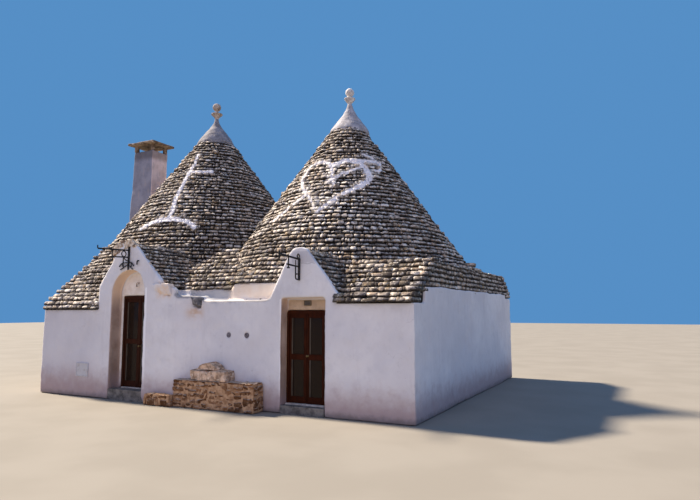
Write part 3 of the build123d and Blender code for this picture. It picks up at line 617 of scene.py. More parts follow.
def cap_lime(name, k):
    m = Mat(name)
    mid = m.noise(6.0, 5, 0.6)
    c = m.mix(m.remap(mid, 0.35, 0.65), (0.27 * k, 0.26 * k, 0.285 * k), (0.46 * k, 0.44 * k, 0.475 * k))
    stain = m.noise(5.0, 5, 0.65, stretch=(1.6, 1.6, 0.5))
    c = m.mix(m.remap(stain, 0.54, 0.72, 0.0, 0.65), c, (0.44, 0.35, 0.27))
    grey = m.noise(11.0, 5, 0.7)
    c = m.mix(m.remap(grey, 0.60, 0.72, 0.0, 0.55), c, (0.20, 0.18, 0.17))
    h = m.math("ADD", m.noise(40.0, 6, 0.6), m.noise(12.0, 4, 0.5))
    m.set(Base_Color=c, Roughness=0.9, Specular_IOR_Level=0.2, Normal=m.bump(h, 0.55, 0.012))
    return m.m


def weathered(name, dark, light, spot, scale=9.0, amount=0.6, bumps=(0.6, 0.012)):
    m = Mat(name)
    a = m.noise(scale, 6, 0.62)
    c = m.mix(m.remap(a, 0.36, 0.64), dark, light)
    c = m.mix(m.remap(m.noise(scale * 1.7, 5, 0.65), 0.54, 0.68, 0.0, amount), c, spot)
    c = m.mix(m.remap(m.noise(scale * 0.45, 4, 0.6), 0.30, 0.48, 0.5, 0.0), c, (dark[0] * 0.45, dark[1] * 0.45, dark[2] * 0.45))
    pits = m.voronoi(scale * 5)
    h = m.math("ADD", m.math("MULTIPLY", m.noise(scale * 5, 6, 0.65), 0.8), m.math("MULTIPLY", pits, 0.6))
    m.set(Base_Color=c, Roughness=0.93, Specular_IOR_Level=0.2, Normal=m.bump(h, bumps[0], bumps[1]))
    return m.m


def tufa(name):
    m = Mat(name)
    tint = m.attr("tint")
    a = m.noise(14.0, 6, 0.65)
    c = m.ramp(tint, [(0.0, (0.070, 0.030, 0.013)), (0.5, (0.150, 0.068, 0.030)), (1.0, (0.320, 0.160, 0.078))])
    c = m.mix(m.remap(a, 0.50, 0.68, 0.0, 0.45), c, (0.42, 0.245, 0.130))
    # the tufa's holes are painted near-black: painted shade in its pits
    holes = m.voronoi(26.0)
    pits = m.remap(m.math("ADD", holes, m.math("MULTIPLY", m.noise(20.0, 3, 0.5), 0.5)), 0.30, 0.46, 1.0, 0.0)
    c = m.mix(m.math("MULTIPLY", pits, 0.85), c, (0.030, 0.014, 0.007))
    c = m.mix(m.remap(m.noise(5.0, 5, 0.65), 0.53, 0.66, 0.0, 0.42), c, (0.45, 0.305, 0.205))
    c = m.mix(m.remap(m.math("ADD", m.facing("Z"), m.math("MULTIPLY", m.math("SUBTRACT", m.noise(12.0, 4, 0.6), 0.5), 1.2)), 0.35, 0.8, 0.0, 0.55), c, (0.60, 0.50, 0.42))
    h = m.math("SUBTRACT", m.noise(50.0, 5, 0.6), m.math("MULTIPLY", pits, 1.4))
    m.set(Base_Color=c, Roughness=0.96, Specular_IOR_Level=0.15, Normal=m.bump(h, 0.9, 0.02))
    return m.m


def mortar(name):
    m = Mat(name)
    c = m.mix(m.remap(m.noise(12.0, 5, 0.6), 0.35, 0.68), (0.330, 0.182, 0.096), (0.565, 0.360, 0.218))
    m.set(Base_Color=c, Roughness=0.95, Specular_IOR_Level=0.15, Normal=m.bump(m.noise(60.0, 5, 0.6), 0.7, 0.012))
    return m.m


def stained_wood(name, dark, light, along="Z"):
    m = Mat(name)
    st = {"Z": (14, 14, 0.9), "X": (0.9, 14, 14)}[along]
    grain = m.noise(5.0, 6, 0.62, stretch=st, distortion=0.3)
    fine = m.noise(22.0, 4, 0.6, stretch=st)
    c = m.mix(m.remap(grain, 0.34, 0.66), dark, light)
    c = m.mix(m.remap(fine, 0.55, 0.72, 0.0, 0.5), c, (dark[0] * 0.4, dark[1] * 0.4, dark[2] * 0.4))
    c = m.mix(m.remap(m.noise(3.0, 4, 0.6), 0.55, 0.75, 0.0, 0.35), c, (light[0] * 1.5, light[1] * 1.35, light[2] * 1.3))
    h = m.math("ADD", grain, m.math("MULTIPLY", fine, 0.5))
    m.set(Base_Color=c, Roughness=m.remap(grain, 0.3, 0.7, 0.52, 0.72), Specular_IOR_Level=0.07, Coat_Weight=0.0, Normal=m.bump(h, 0.25, 0.003))
    return m.m


def iron(name):
    m = Mat(name)
    a = m.noise(30.0, 5, 0.6)
    c = m.mix(m.remap(a, 0.52, 0.72, 0.0, 0.6), (0.012, 0.012, 0.013), (0.075, 0.045, 0.028))
    m.set(Base_Color=c, Roughness=m.remap(a, 0.3, 0.7, 0.45, 0.75), Metallic=0.35, Specular_IOR_Level=0.4, Normal=m.bump(m.noise(120.0, 4, 0.6), 0.4, 0.002))
    return m.m


ROOF_L = roof_stone("roof_stone_left", [(h, flattened(q, "left")) for h, q in MARKS_LEFT])
ROOF_R = roof_stone("roof_stone_right", [(h, flattened(q, "right")) for h, q in MARKS_RIGHT])
ROOF = roof_stone("roof_stone_skirt", olive=1.0)
GAP_SHADE = gap_shade("roof_core")
LIME = limewash("limewash")
CAP_L = cap_lime("cap_lime_left", 0.66)
CAP_R = cap_lime("cap_lime_right", 1.0)
PINNACLE_L = weathered("pinnacle_stone_left", (0.26, 0.205, 0.17), (0.50, 0.43, 0.38), (0.56, 0.42, 0.30))
PINNACLE_R = weathered("pinnacle_stone_right", (0.44, 0.41, 0.40), (0.76, 0.74, 0.74), (0.60, 0.50, 0.40), 7.0, 0.5)
SLAB = weathered("slab_stone", (0.16, 0.13, 0.11), (0.38, 0.33, 0.28), (0.55, 0.50, 0.42), 6.0)
STEP = weathered("step_stone", (0.085, 0.078, 0.074), (0.22, 0.20, 0.185), (0.34, 0.31, 0.27), 5.0, 0.4)
SPOUT = weathered("spout_stone", (0.115, 0.11, 0.12), (0.27, 0.26, 0.27), (0.36, 0.34, 0.32), 10.0, 0.4)
ROCK = weathered("bench_rock", (0.30, 0.190, 0.125), (0.84, 0.60, 0.43), (0.96, 0.82, 0.66), 7.0, 0.7, (0.9, 0.02))
FLOOR = weathered("floor_stone", (0.30, 0.27, 0.24), (0.48, 0.44, 0.39), (0.40, 0.36, 0.31), 2.0, 0.4, (0.3, 0.006))
TUFA = tufa("tufa_block")
MORTAR = mortar("bench_mortar")
WOOD_L = stained_wood("stained_wood_left", (0.020, 0.0065, 0.0035), (0.055, 0.018, 0.009))
WOOD_R = stained_wood("stained_wood_right", (0.020, 0.0042, 0.0013), (0.056, 0.0125, 0.0040))
# the pale bead wood is lighter than the doors: painted light caught on the beads' sides
BEAD_HIGHLIGHT = stained_wood("glazing_bead", (0.046, 0.036, 0.027), (0.112, 0.092, 0.072))
IRON = iron("black_iron")

# nearly opaque near-black panes: painted shade of the dark room behind the glass
m = Mat("dark_glass")
m.set(Base_Color=(0.020, 0.012, 0.008), Roughness=m.remap(m.noise(3.0, 3, 0.5), 0.3, 0.7, 0.05, 0.16), Specular_IOR_Level=0.12, Alpha=0.9)
GLASS = m.m
m = Mat("dull_brass")
m.set(Base_Color=m.mix(m.noise(50.0, 4, 0.6), (0.16, 0.105, 0.045), (0.36, 0.27, 0.13)), Metallic=1.0, Roughness=m.remap(m.noise(30.0, 3, 0.5), 0.3, 0.7, 0.35, 0.55))
BRASS = m.m
m = Mat("plate_glaze")
m.set(Base_Color=m.mix(m.remap(m.noise(25.0, 4, 0.6), 0.4, 0.65), (0.060, 0.042, 0.028), (0.115, 0.085, 0.055)), Roughness=m.remap(m.noise(14.0, 3, 0.5), 0.3, 0.7, 0.25, 0.5), Specular_IOR_Level=0.5)
PLATE = m.m
m = Mat("painted_steel")
m.set(Base_Color=m.mix(m.remap(m.noise(9.0, 5, 0.65), 0.5, 0.72, 0.0, 0.7), (0.52, 0.51, 0.53), (0.33, 0.29, 0.27)), Roughness=m.remap(m.noise(20.0, 3, 0.5), 0.3, 0.7, 0.45, 0.7), Specular_IOR_Level=0.4, Normal=m.bump(m.noise(40.0, 4, 0.5), 0.2, 0.002))
STEEL = m.m

# ------------------------------------------------------------------ stones
QUADS = [(2, 3, 7, 6), (1, 0, 4, 5), (3, 1, 5, 7), (0, 2, 6, 4), (6, 7, 5, 4), (0, 1, 3, 2)]


FRONT_CORNERS = (2, 3, 6, 7)


def _template():
    """A closed block of 17 vertices: its front is chamfered and crowned, its back is plain."""
    at, order = {}, []
    for f, q in enumerate(QUADS):
        for c in q:
            key = (f, c) if c in FRONT_CORNERS else (-1, c)
            if key not in order:
                order.append(key)
            at[f, c] = order.index(key)
    side = {}
    for f, q in enumerate(QUADS):
        for k in range(4):
            side[q[k], q[(k + 1) % 4]] = f
    polys = [tuple(at[f, c] for c in QUADS[f]) for f in range(1, 6)]
    used = set()
    strips = []
    for (a, b), f in side.items():
        if (b, a) in used:
            continue
        used.add((a, b))
        g = side[b, a]
        strips.append(((f, b), (f, a), (g, a), (g, b)))
    polys += [tuple(at[k] for k in q) for q in strips]
    full = {(f, c): f * 4 + k for f, q in enumerate(QUADS) for k, c in enumerate(q)}
    directed = set()
    for q in strips:
        v = [full[k] for k in q]
        directed |= {(v[k], v[(k + 1) % 4]) for k in range(4)}
    for c in FRONT_CORNERS:
        fs = [f for f, q in enumerate(QUADS) if c in q]
        x, y, z = [full[f, c] for f in fs]
        tri = fs if (y, x) in directed else [fs[0], fs[2], fs[1]]
        polys.append(tuple(at[f, c] for f in tri))
    crown = len(order)
    ring = [at[0, c] for c in QUADS[0]]
    polys += [(ring[k], ring[(k + 1) % 4], crown) for k in range(4)]
    quads, tris = [], []
    for p in polys:
        q = [v for k, v in enumerate(p) if v != p[k - 1]]
        if len(set(q)) == 4:
            quads.append(q)
        elif len(set(q)) == 3:
            tris.append(q)
    take = [(QUADS[f].index(c) + 4 * f, True) if f >= 0 else (c, False) for f, c in order]
    return np.array(quads), np.array(tris), take


T_QUADS, T_TRIS, T_TAKE = _template()
T_N = len(T_TAKE) + 1


def chamfered(corners, ch, crown):
    """corners (N, 8, 3) and chamfers (N,) to vertices (N, 17, 3)."""
    n = len(corners)
    full = np.zeros((n, 24, 3))
    for f, q in enumerate(QUADS):
        p = corners[:, q, :]
        for k in range(4):
            nxt = p[:, (k + 1) % 4] - p[:, k]
            prv = p[:, (k - 1) % 4] - p[:, k]
            ln = np.linalg.norm(nxt, axis=1, keepdims=True) + 1e-9
            lp = np.linalg.norm(prv, axis=1, keepdims=True) + 1e-9
            cn = np.minimum(ch[:, None], 0.36 * ln)
            cp = np.minimum(ch[:, None], 0.36 * lp)
            full[:, f * 4 + k] = p[:, k] + nxt / ln * cn + prv / lp * cp
    out = np.zeros((n, T_N, 3))
    for i, (k, front) in enumerate(T_TAKE):
        out[:, i] = full[:, k] if front else corners[:, k]
    w = crown[:, :4] / crown[:, :4].sum(1, keepdims=True)
    face = full[:, 0:4]
    outward = corners[:, [2, 3, 6, 7]].mean(1) - corners[:, [0, 1, 4, 5]].mean(1)
    outward /= np.linalg.norm(outward, axis=1, keepdims=True) + 1e-9
    out[:, -1] = (face * w[:, :, None]).sum(1) + outward * crown[:, 4:5]
    return out


class Stones:
    """Collects stones as eight corners each; corner bits are along, outward and up."""

    def __init__(self, seed, lean=0.0):
        self.rng = np.random.default_rng(seed)
        self.lean = lean
        self.c, self.tint, self.hue, self.ch = [], [], [], []

    def add(self, corners, tint=None, hue=None, ch=None):
        n = len(corners)
        r = self.rng
        self.c.append(corners)
        self.tint.append(np.clip(r.beta(2.0, 1.7, n), 0, 1) if tint is None else tint)
        self.hue.append(r.uniform(0, 1, n) if hue is None else hue)
        self.ch.append(r.uniform(0.012, 0.028, n) if ch is None else np.full(n, ch))

    def keep(self, test):
        c = np.concatenate(self.c)
        k = test(c)
        self.c = [c[k]]
        self.tint = [np.concatenate(self.tint)[k]]
        self.hue = [np.concatenate(self.hue)[k]]
        self.ch = [np.concatenate(self.ch)[k]]

    def make(self, name, mat, clamp=None, body=HOUSE):
        c = np.concatenate(self.c)
        n = len(c)
        crown = np.c_[self.rng.uniform(0.5, 1.5, (n, 4)), self.rng.uniform(-0.002, 0.012, n)]
        v = chamfered(c, np.concatenate(self.ch), crown).reshape(-1, 3)
        if clamp:
            v = clamp(v)
        off = (np.arange(n) * T_N)[:, None, None]
        quads = (T_QUADS[None] + off).reshape(-1, 4)
        tris = (T_TRIS[None] + off).reshape(-1, 3)
        me = build_mesh(name, v, [quads, tris])
        attribute(me, "tint", np.repeat(np.concatenate(self.tint), T_N))
        attribute(me, "hue", np.repeat(np.concatenate(self.hue), T_N))
        foot = [(1.0 if (QUADS[k // 4][k % 4] if front else k) < 4 else 0.0) for k, front in T_TAKE] + [0.35]
        attribute(me, "foot", np.tile(foot, n))
        return place(name, me, mat, body)


def split_length(rng, total, mean, low, high):
    n = max(1, int(round(total / mean)))
    w = rng.uniform(low, high, n)
    w = w / w.sum() * total
    e = np.concatenate([[0], np.cumsum(w)])
    return e


# Heights of the roof's surfaces over the ground plan, in survey metres.
def h_cone(c, x, y):
    return c["tip"] - np.hypot(x - c["x"], y - c["y"]) / c["k"]


def profile(points, t):
    return np.interp(t, [p[0] for p in points], [p[1] for p in points], left=-9, right=-9)


GABLE_L = [(-6.28, 2.67), (-5.60, 3.60), (-5.53, 3.66), (-5.45, 3.68), (-5.21, 3.68), (-5.13, 3.66), (-5.06, 3.60), (-4.15, 2.67)]
GABLE_R = [(-1.27, 2.50), (-0.87, 3.25), (-0.79, 3.33), (-0.72, 3.35), (-0.54, 3.35), (-0.46, 3.33), (-0.38, 3.25), (0.02, 2.76), (0.30, 2.38)]


def h_skirt(x, y):
    left = np.where((x < -6.28) & (y > -0.38) & (y < 3.2), np.minimum(3.7, 2.17 + 0.65 * (y + 0.38)), -9)
    mid = np.where((x > -4.95) & (x < -0.63) & (y > 0.33) & (y < 3.2), np.minimum(3.7, 2.62 + 0.606 * (y - 0.33)), -9)
    right = np.where((x > -0.63) & (y > -0.08) & (y <= 4.4), np.minimum(3.1, 2.29 + 0.606 * (y + 0.08)), -9)
    back = np.where((y > 4.4) & (y < 8.78), np.minimum(3.1, 2.52 + 0.606 * (8.78 - y)), -9)
    return np.maximum.reduce([left, mid, right, back])


def h_gables(x, y):
    a = np.where((y > -0.31) & (y < 2.6), profile(GABLE_L, x), -9)
    b = np.where((y > -0.01) & (y < 2.6), profile(GABLE_R, x), -9)
    return np.maximum(a, b)


SLIP = (-10.05 + 8.35) / (4.4 + 0.3)


def party_x(y):
    """X of the left party wall's face."""
    return np.where(y < 4.4, -8.35 + SLIP * (y + 0.3), -10.05)


def clamp_plan(v):
    """Row-frame vertices kept inside the party wall planes and the back."""
    x, y = v[:, 0] - SX, v[:, 1] - SY
    x = np.clip(x, party_x(y) + 0.0, 1.95)
    y = np.minimum(y, 8.78)
    v = v.copy()
    v[:, 0], v[:, 1] = x + SX, y + SY
    return v


def row(st, p0, u, out, length, z0, z1, depth, mean=0.165, lean=0.0, face=0.015, gap=0.009, tilt=0.012, wob=0.010, ch=None, rough=1.0, tint=None, seam=0.028):
    """One course: from p0 along u, its faces towards out; z0 to z1, survey metres."""
    r = st.rng
    e = split_length(r, length, mean, 0.45, 1.6)
    n = len(e) - 1
    a, b = e[:-1] + gap * r.uniform(0.3, 1.4, n), e[1:] - gap * r.uniform(0.3, 1.4, n)
    u, out = np.array(u, float), np.array(out, float)
    mid = (a + b) / 2
    pm = np.array(p0)[None] + u[None] * mid[:, None]
    pm[:, 2] = z0
    wz = wob * vnoise(pm, 0.9, 3)
    wf = 0.02 * vnoise(pm, 0.7, 9)
    push = r.normal(0, face, n) + wf
    low = z0 + wz + r.uniform(-0.006, 0.008, n)
    top = z1 + wz - r.uniform(0.0, seam, n)
    slant = r.normal(lean + st.lean, 0.011 * rough, n)
    c = np.zeros((n, 8, 3))
    for bit_u, along in ((0, a), (1, b)):
        for bit_o in (0, 1):
            for bit_z, zz in ((0, low), (1, top)):
                k = bit_u + 2 * bit_o + 4 * bit_z
                j = r.normal(0, 0.006 * rough, (n, 3))
                o = np.where(bit_o, push + (slant if bit_z else -slant), -depth + 0 * push)
                al = along + j[:, 0] + (r.normal(0, 0.008 * rough, n) if bit_z else 0)
                p = np.array([p0[0], p0[1]])[None] + u[None, :2] * al[:, None] + out[None, :2] * (o + j[:, 1])[:, None]
                c[:, k, 0], c[:, k, 1] = p[:, 0], p[:, 1]
                c[:, k, 2] = zz + j[:, 2] + (tilt if (bit_z and not bit_o) else 0)
    c += np.array([SX, SY, SZ])
    st.add(c, ch=ch, tint=tint)


def mark_distance(p, marks):
    """Distance of row-frame points to the strokes of lime, less each stroke's own half width."""
    best = np.full(len(p), 9.0)
    for half, pts in marks:
        for a, b in zip(pts[:-1], pts[1:]):
            a, ab = np.array(a, float), np.subtract(b, a)
            t = np.clip((p - a) @ ab / (ab @ ab), 0, 1)
            best = np.minimum(best, np.linalg.norm(p - a - t[:, None] * ab, axis=1) - half)
    return best


def ring(st, cone, z0, z1, marks, depth=0.22, mean=0.150, lean=-0.024, proud=0.012):
    r = st.rng
    radius = (cone["tip"] - z0) * cone["k"] + proud
    total = 2 * math.pi * radius
    e = split_length(r, total, mean, 0.45, 1.7) / radius + r.uniform(0, 6.28)
    n = len(e) - 1
    mid = (e[:-1] + e[1:]) / 2
    pm = np.c_[np.cos(mid) * radius, np.sin(mid) * radius, np.full(n, z0)] + [cone["x"], 0, 0]
    # under the painted marks the joints are filled with lime, so the stones close up there
    bare = np.where(mark_distance(pm + [SX, cone["y"] + SY, SZ + (z1 - z0) / 2], marks) < 0.06, 0.0, 1.0)
    gap = 0.008 / radius
    a, b = e[:-1] + gap * r.uniform(0.3, 1.7, n) * bare, e[1:] - gap * r.uniform(0.3, 1.7, n) * bare
    wz = 0.016 * vnoise(pm, 0.8, 3)
    calm = np.clip((cone["cut"] - z0) / 0.5, 0.25, 1)
    push = r.normal(0, 0.015, n) * calm * (0.3 + 0.7 * bare) + 0.028 * calm * vnoise(pm, 0.75, 9) + np.where(r.uniform(0, 1, n) < 0.05, -0.030, 0) * bare
    low = z0 + wz + r.uniform(-0.006, 0.010, n) * bare - 0.004 * (1 - bare)
    top = z1 + wz - r.uniform(0.002, 0.032, n) * bare + 0.004 * (1 - bare)
    skew = r.normal(0, 0.015, n) * (0.4 + 0.6 * bare)
    slant = lean + r.normal(0, 0.012, n) * (0.3 + 0.7 * bare)
    c = np.zeros((n, 8, 3))
    for bit_u, ang in ((0, b), (1, a)):  # seen from outside, the angle grows to the left on the near side
        for bit_o in (0, 1):
            for bit_z, zz in ((0, low), (1, top)):
                k = bit_u + 2 * bit_o + 4 * bit_z
                j = r.normal(0, 0.006, (n, 3))
                rr = np.where(bit_o, radius + push + (slant if bit_z else -slant) + (skew if bit_u else -skew), max(radius - depth, 0.05) + 0 * push)
                th = ang + j[:, 0] / radius
                c[:, k, 0] = cone["x"] + (rr + j[:, 1]) * np.cos(th)
                c[:, k, 1] = cone["y"] + (rr + j[:, 1]) * np.sin(th)
                c[:, k, 2] = zz + j[:, 2] + (0.012 if (bit_z and not bit_o) else 0)
    c += np.array([SX, SY, SZ])
    # corner order: the angle grows counter-clockwise seen from above, which is to the right seen from outside
    c = c[:, [1, 0, 3, 2, 5, 4, 7, 6]]
    # paler stones in broad patches; each cone's direction terms lighten or darken whole flanks as painted light and
    # painted shade
    patch = 0.16 * vnoise(pm, 0.45, 21) + 0.10 * vnoise(pm, 1.7, 22)
    for x, y, more, low, high in cone["weather"]:
        patch = patch + more * np.clip(np.cos(mid) * x + np.sin(mid) * y, 0, 1) ** 2 * (low < z0 < high)
    st.add(c, tint=np.clip(r.beta(2.0, 1.7, n) + patch, 0, 1), ch=np.where(bare > 0.5, r.uniform(0.014, 0.032, n), 0.008))


def visible(own, slack=0.18):
    def test(c):
        m = c.mean(1)
        x, y = m[:, 0] - SX, m[:, 1] - SY
        out = c[:, [2, 3, 6, 7]].mean(1)
        xo, yo = out[:, 0] - SX, out[:, 1] - SY
        z = c[:, :, 2].max(1) - SZ
        others = np.full(len(c), -9.0)
        for k, f in SURFACES.items():
            if k != own:
                others = np.maximum(others, f(xo, yo))
        inside = (xo > party_x(yo) - 0.06) & (xo < 2.0) & (yo < 8.9)
        return (z > others - slack) & inside

    return test


SURFACES = {
    "left": lambda x, y: h_cone(CONES["left"], x, y),
    "right": lambda x, y: h_cone(CONES["right"], x, y),
    "skirt": h_skirt,
    "gable": h_gables,
}
RISE = 0.107

for side, mat, seed, marks in (("left", ROOF_L, 11, MARKS_LEFT), ("right", ROOF_R, 12, MARKS_RIGHT)):
    cone = CONES[side]
    st = Stones(seed)
    top = cone["cut"] + 0.02
    z = top - RISE * 48
    while z < top - 0.02:
        h = RISE * (1 + 0.16 * math.sin(z * 37.0))
        ring(st, cone, z, min(z + h, top + 0.01) - 0.004, marks)
        z += h
    st.keep(visible(side))
    st.make(f"roof_courses_{side}", mat, lambda v: clamp_plan(flattened(v, side)))

# skirts: straight courses along the eaves, then flat slabs where the roof levels out
X = (1, 0, 0)
st = Stones(21, -0.018)


def slope_rows(x0, x1, y_eave, z_soffit, z_edge, slope, z_top, y_end, out, first_mean=0.22, mean=0.165, rise=RISE):
    sgn = -out
    z, y = z_edge, y_eave
    u = (1, 0, 0) if out < 0 else (-1, 0, 0)
    start = x0 if out < 0 else x1
    row(st, (start, y + 0.0, 0), u, (0, out, 0), x1 - x0, z_soffit, z_edge + 0.03, 0.42, first_mean, 0.0, 0.018, 0.012, 0.0, seam=0.018)
    z = z_edge + 0.03
    while z < z_top - 0.02:
        y = y_eave + sgn * (z - z_edge) / slope
        row(st, (start, y, 0), u, (0, out, 0), x1 - x0, z, z + rise - 0.004, 0.36, mean, 0.0, 0.016)
        z += rise
    y = y_eave + sgn * (z_top - z_edge) / slope
    while (y_end - y) * sgn > 0.05:
        row(st, (start, y + sgn * 0.02, 0), u, (0, out, 0), x1 - x0, z_top - 0.05, z_top + 0.012, 0.29, 0.30, 0.0, 0.008, 0.006, 0.0, seam=0.010)
        y += sgn * 0.26


slope_rows(-10.1, -6.24, -0.38, 2.10, 2.17, 0.65, 3.70, 3.2, -1, 0.24, 0.18, 0.112)
slope_rows(-4.93, -1.08, 0.33, 2.552, 2.62, 0.606, 3.70, 3.2, -1)
slope_rows(0.02, 1.95, -0.08, 2.222, 2.29, 0.606, 3.10, 4.4, -1)
slope_rows(-10.05, 1.95, 8.78, 2.452, 2.52, 0.606, 3.10, 4.4, 1)
# the eaves over the raised plaster block
row(st, (-2.66, 0.275, 0), X, (0, -1, 0), 1.40, 2.680, 2.765, 0.34, 0.21, 0.0, 0.014, 0.010, 0.0, seam=0.012)
row(st, (-2.64, 0.42, 0), X, (0, -1, 0), 1.40, 2.765, 2.860, 0.30, 0.17, 0.0, 0.014, seam=0.020)
# the last stones of the left eaves step up against the arched gable
for k in range(4):
    row(st, (-6.62 + 0.05 * k, -0.36 + 0.10 * k, 0), X, (0, -1, 0), 0.36 - 0.05 * k, 2.17 + 0.105 * k, 2.27 + 0.105 * k, 0.3, 0.15)


def skirt_test(c):
    ok = visible("skirt", 0.30)(c)
    m = c[:, [2, 3, 6, 7]].mean(1)
    x, y = m[:, 0] - SX, m[:, 1] - SY
    z = c[:, :, 2].max(1) - SZ
    # the front faces of the two gables stay clear
    left = (x > -6.30) & (x < -4.16) & (y < 0.30)
    right = (x > -1.30) & (x < 0.20) & (y < 0.14)
    # inside the raised block
    block = (x > -2.60) & (x < -1.30) & (y < 0.44) & (z < 2.69)
    return ok & ~left & ~right & ~block


st.keep(skirt_test)
# the front between and right of the gables is darker: a greyer stone in the middle, and painted shade of the plants
# over the right part
for k, c in enumerate(st.c):
    x, y = c[:, :, 0].mean(1) - SX, c[:, :, 1].mean(1) - SY
    st.tint[k] = np.clip(st.tint[k] - np.where(x < -0.6, 0.31, 0.27) * ((x > -5.0) & (y < 1.8)), 0, 1)
st.make("roof_courses_skirts", ROOF, clamp_plan)

# small roofs behind the two gables: courses along the house, up both slopes to the plastered faces
st = Stones(31, -0.012)


def gable_rows(pts, y0, y1, side, rise=0.098):
    """pts from foot to ridge as (x, z), the line that the stones' lower edges follow; side is -1 for the left slope."""
    za, zb = pts[0][1], pts[-1][1]
    n = max(1, int(round((zb - za) / rise)))
    for k in range(n):
        z0 = za + (zb - za) * k / n
        z1 = za + (zb - za) * (k + 1) / n
        x = float(np.interp(z0, [q[1] for q in pts], [q[0] for q in pts]))
        if side < 0:
            row(st, (x, y1, 0), (0, -1, 0), (-1, 0, 0), y1 - y0, z0, z1 - 0.003, 0.24, 0.15, 0.0, 0.014, seam=0.022)
        else:
            row(st, (x, y0, 0), (0, 1, 0), (1, 0, 0), y1 - y0, z0, z1 - 0.003, 0.24, 0.15, 0.0, 0.014, seam=0.022)


gable_rows([(-6.25, 2.62), (-5.60, 3.54), (-5.55, 3.63)], -0.165, 2.6, -1)
gable_rows([(-4.09, 2.60), (-5.02, 3.545), (-5.09, 3.64)], -0.235, 2.6, 1)
gable_rows([(-1.26, 2.44), (-0.87, 3.21), (-0.82, 3.29)], 0.135, 2.6, -1)
gable_rows([(0.330, 2.35), (0.03, 2.75), (-0.365, 3.23), (-0.42, 3.30)], 0.060, 2.6, 1)
for x0, x1, zt, y0 in ((-5.58, -5.09, 3.655, -0.16), (-0.85, -0.43, 3.325, 0.14)):
    y = y0
    while y < 2.6:
        row(st, (x0, y, 0), X, (0, -1, 0), x1 - x0, zt - 0.07, zt + 0.02, 0.2, 0.18, 0.0, 0.008)
        y += 0.2
st.keep(visible("gable", 0.22))
# painted shade: the stones right of x -5.2, on the arched gable's right slope and over the square gable, are darker
for k, c in enumerate(st.c):
    st.tint[k] = np.clip(st.tint[k] - 0.20 * (c[:, :, 0].mean(1) - SX > -5.2), 0, 1)
st.make("roof_courses_gables", ROOF, clamp_plan)

# the roof ends in a rubble face above each party wall
st = Stones(37)


def roof_height(x, y):
    return np.maximum.reduce([f(x, y) for f in SURFACES.values()])


IN = 0.022
uy = 4.4 + 0.38
ux = float(party_x(np.array(4.4)) - party_x(np.array(-0.38)))
ln = math.hypot(ux, uy)
u_skew = (ux / ln, uy / ln, 0)
out_skew = (-uy / ln, ux / ln, 0)
for k in range(19):
    z0 = 2.10 + 0.108 * k
    # right party plane, seen from +X: the run goes towards +Y
    if z0 > 2.15:
        row(st, (1.95 - IN, -0.06, 0), (0, 1, 0), (1, 0, 0), 8.82, z0, z0 + 0.104, 0.20, 0.19, 0.0, 0.006, seam=0.020)
    # left party plane in its two runs, seen from the left: the run goes towards -Y
    row(st, (-10.05 + IN, 8.76, 0), (0, -1, 0), (-1, 0, 0), 4.36, z0, z0 + 0.104, 0.20, 0.19, 0.0, 0.006, seam=0.020)
    a = np.array([-10.05, 4.4]) - np.array(out_skew[:2]) * IN
    row(st, (a[0], a[1], 0), (-u_skew[0], -u_skew[1], 0), out_skew, ln, z0, z0 + 0.104, 0.20, 0.19, 0.0, 0.006, seam=0.020)


def veneer_test(c):
    m = c[:, [0, 1, 4, 5]].mean(1)
    x, y = m[:, 0] - SX, m[:, 1] - SY
    z = c[:, :, 2].max(1) - SZ
    low = c[:, :, 2].min(1) - SZ
    # above each wall's own top
    foot = np.where(x > 0, 2.52, np.where(y < 4.4, 2.52, 2.42))
    foot = np.where((y < 0.35) & (x < 0), 2.08, foot)
    foot = np.where((y < 0.55) & (x > 0), 2.20, foot)
    return (z < roof_height(x, y) + 0.03) & (z > foot + 0.02)


st.keep(veneer_test)
st.make("roof_party_faces", ROOF, clamp_plan)

# dark cores behind the stones, near-black as painted shade deep in the gaps, drawn back from every face that the stones
# make
def core(n, ahead=0.0, below=0.0, cone=None):
    c, t = node_arrays([n])
    c = c.astype(float)
    x, y, z = c[:, 0] - SX, c[:, 1] - SY, c[:, 2] - SZ
    if cone:
        on = np.abs(z - h_cone(cone, x, y)) < 0.03
        away = np.c_[x - cone["x"], y - cone["y"]]
        c[:, :2] -= np.where(on, 0.055, 0)[:, None] * away / np.maximum(np.linalg.norm(away, axis=1), 0.01)[:, None]
        c = np.where(on[:, None], flattened(c, "left" if cone is CONES["left"] else "right"), c)
    right = x > 1.94
    left = x < party_x(y) + 0.02
    back = y > 8.77
    c[:, 0] += np.where(right, -0.07, 0) + np.where(left, 0.07, 0)
    c[:, 1] += np.where(back, -0.03, 0) + ahead
    c[:, 2] -= below
    me = build_mesh(f"core_{n}", c, [t])
    ob = place(f"core_{n}", me, GAP_SHADE, HOUSE, smooth=False)
    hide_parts(n)


for side in ("left", "right"):
    core(f"cone_roof_{side}", cone=CONES[side])
for n in ("skirt_front_left", "skirt_front_middle", "skirt_front_right"):
    core(n, 0.055, 0.025)
for n in ("skirt_back_left", "skirt_back_middle", "skirt_back_right"):
    core(n, -0.055, 0.025)
for n in ("gable_roof_left", "gable_roof_right"):
    core(n, 0.0, 0.04)

# ------------------------------------------------------------------ limewashed walls
WALLS = [
    "front_wall_left", "arch_pier", "arched_gable", "corner_pier", "eave_wall", "middle_wall", "square_gable",
    "front_wall_right", "infill_left", "infill_right", "party_wall_left_front", "party_wall_left_back",
    "party_wall_right", "back_wall",
]
c, t = node_arrays(WALLS)
me = remeshed("walls", c, [t], 0.03)
co = smooth_co(me, get_co(me), 5, 0.5)
set_co(me, co)
nrm = normals_of(me)
d = 0.016 * vnoise(co, 1.1, 1) + 0.010 * vnoise(co, 2.7, 2) + 0.0055 * vnoise(co, 6.5, 3) + 0.003 * vnoise(co, 15.0, 4)
d = d - 0.004


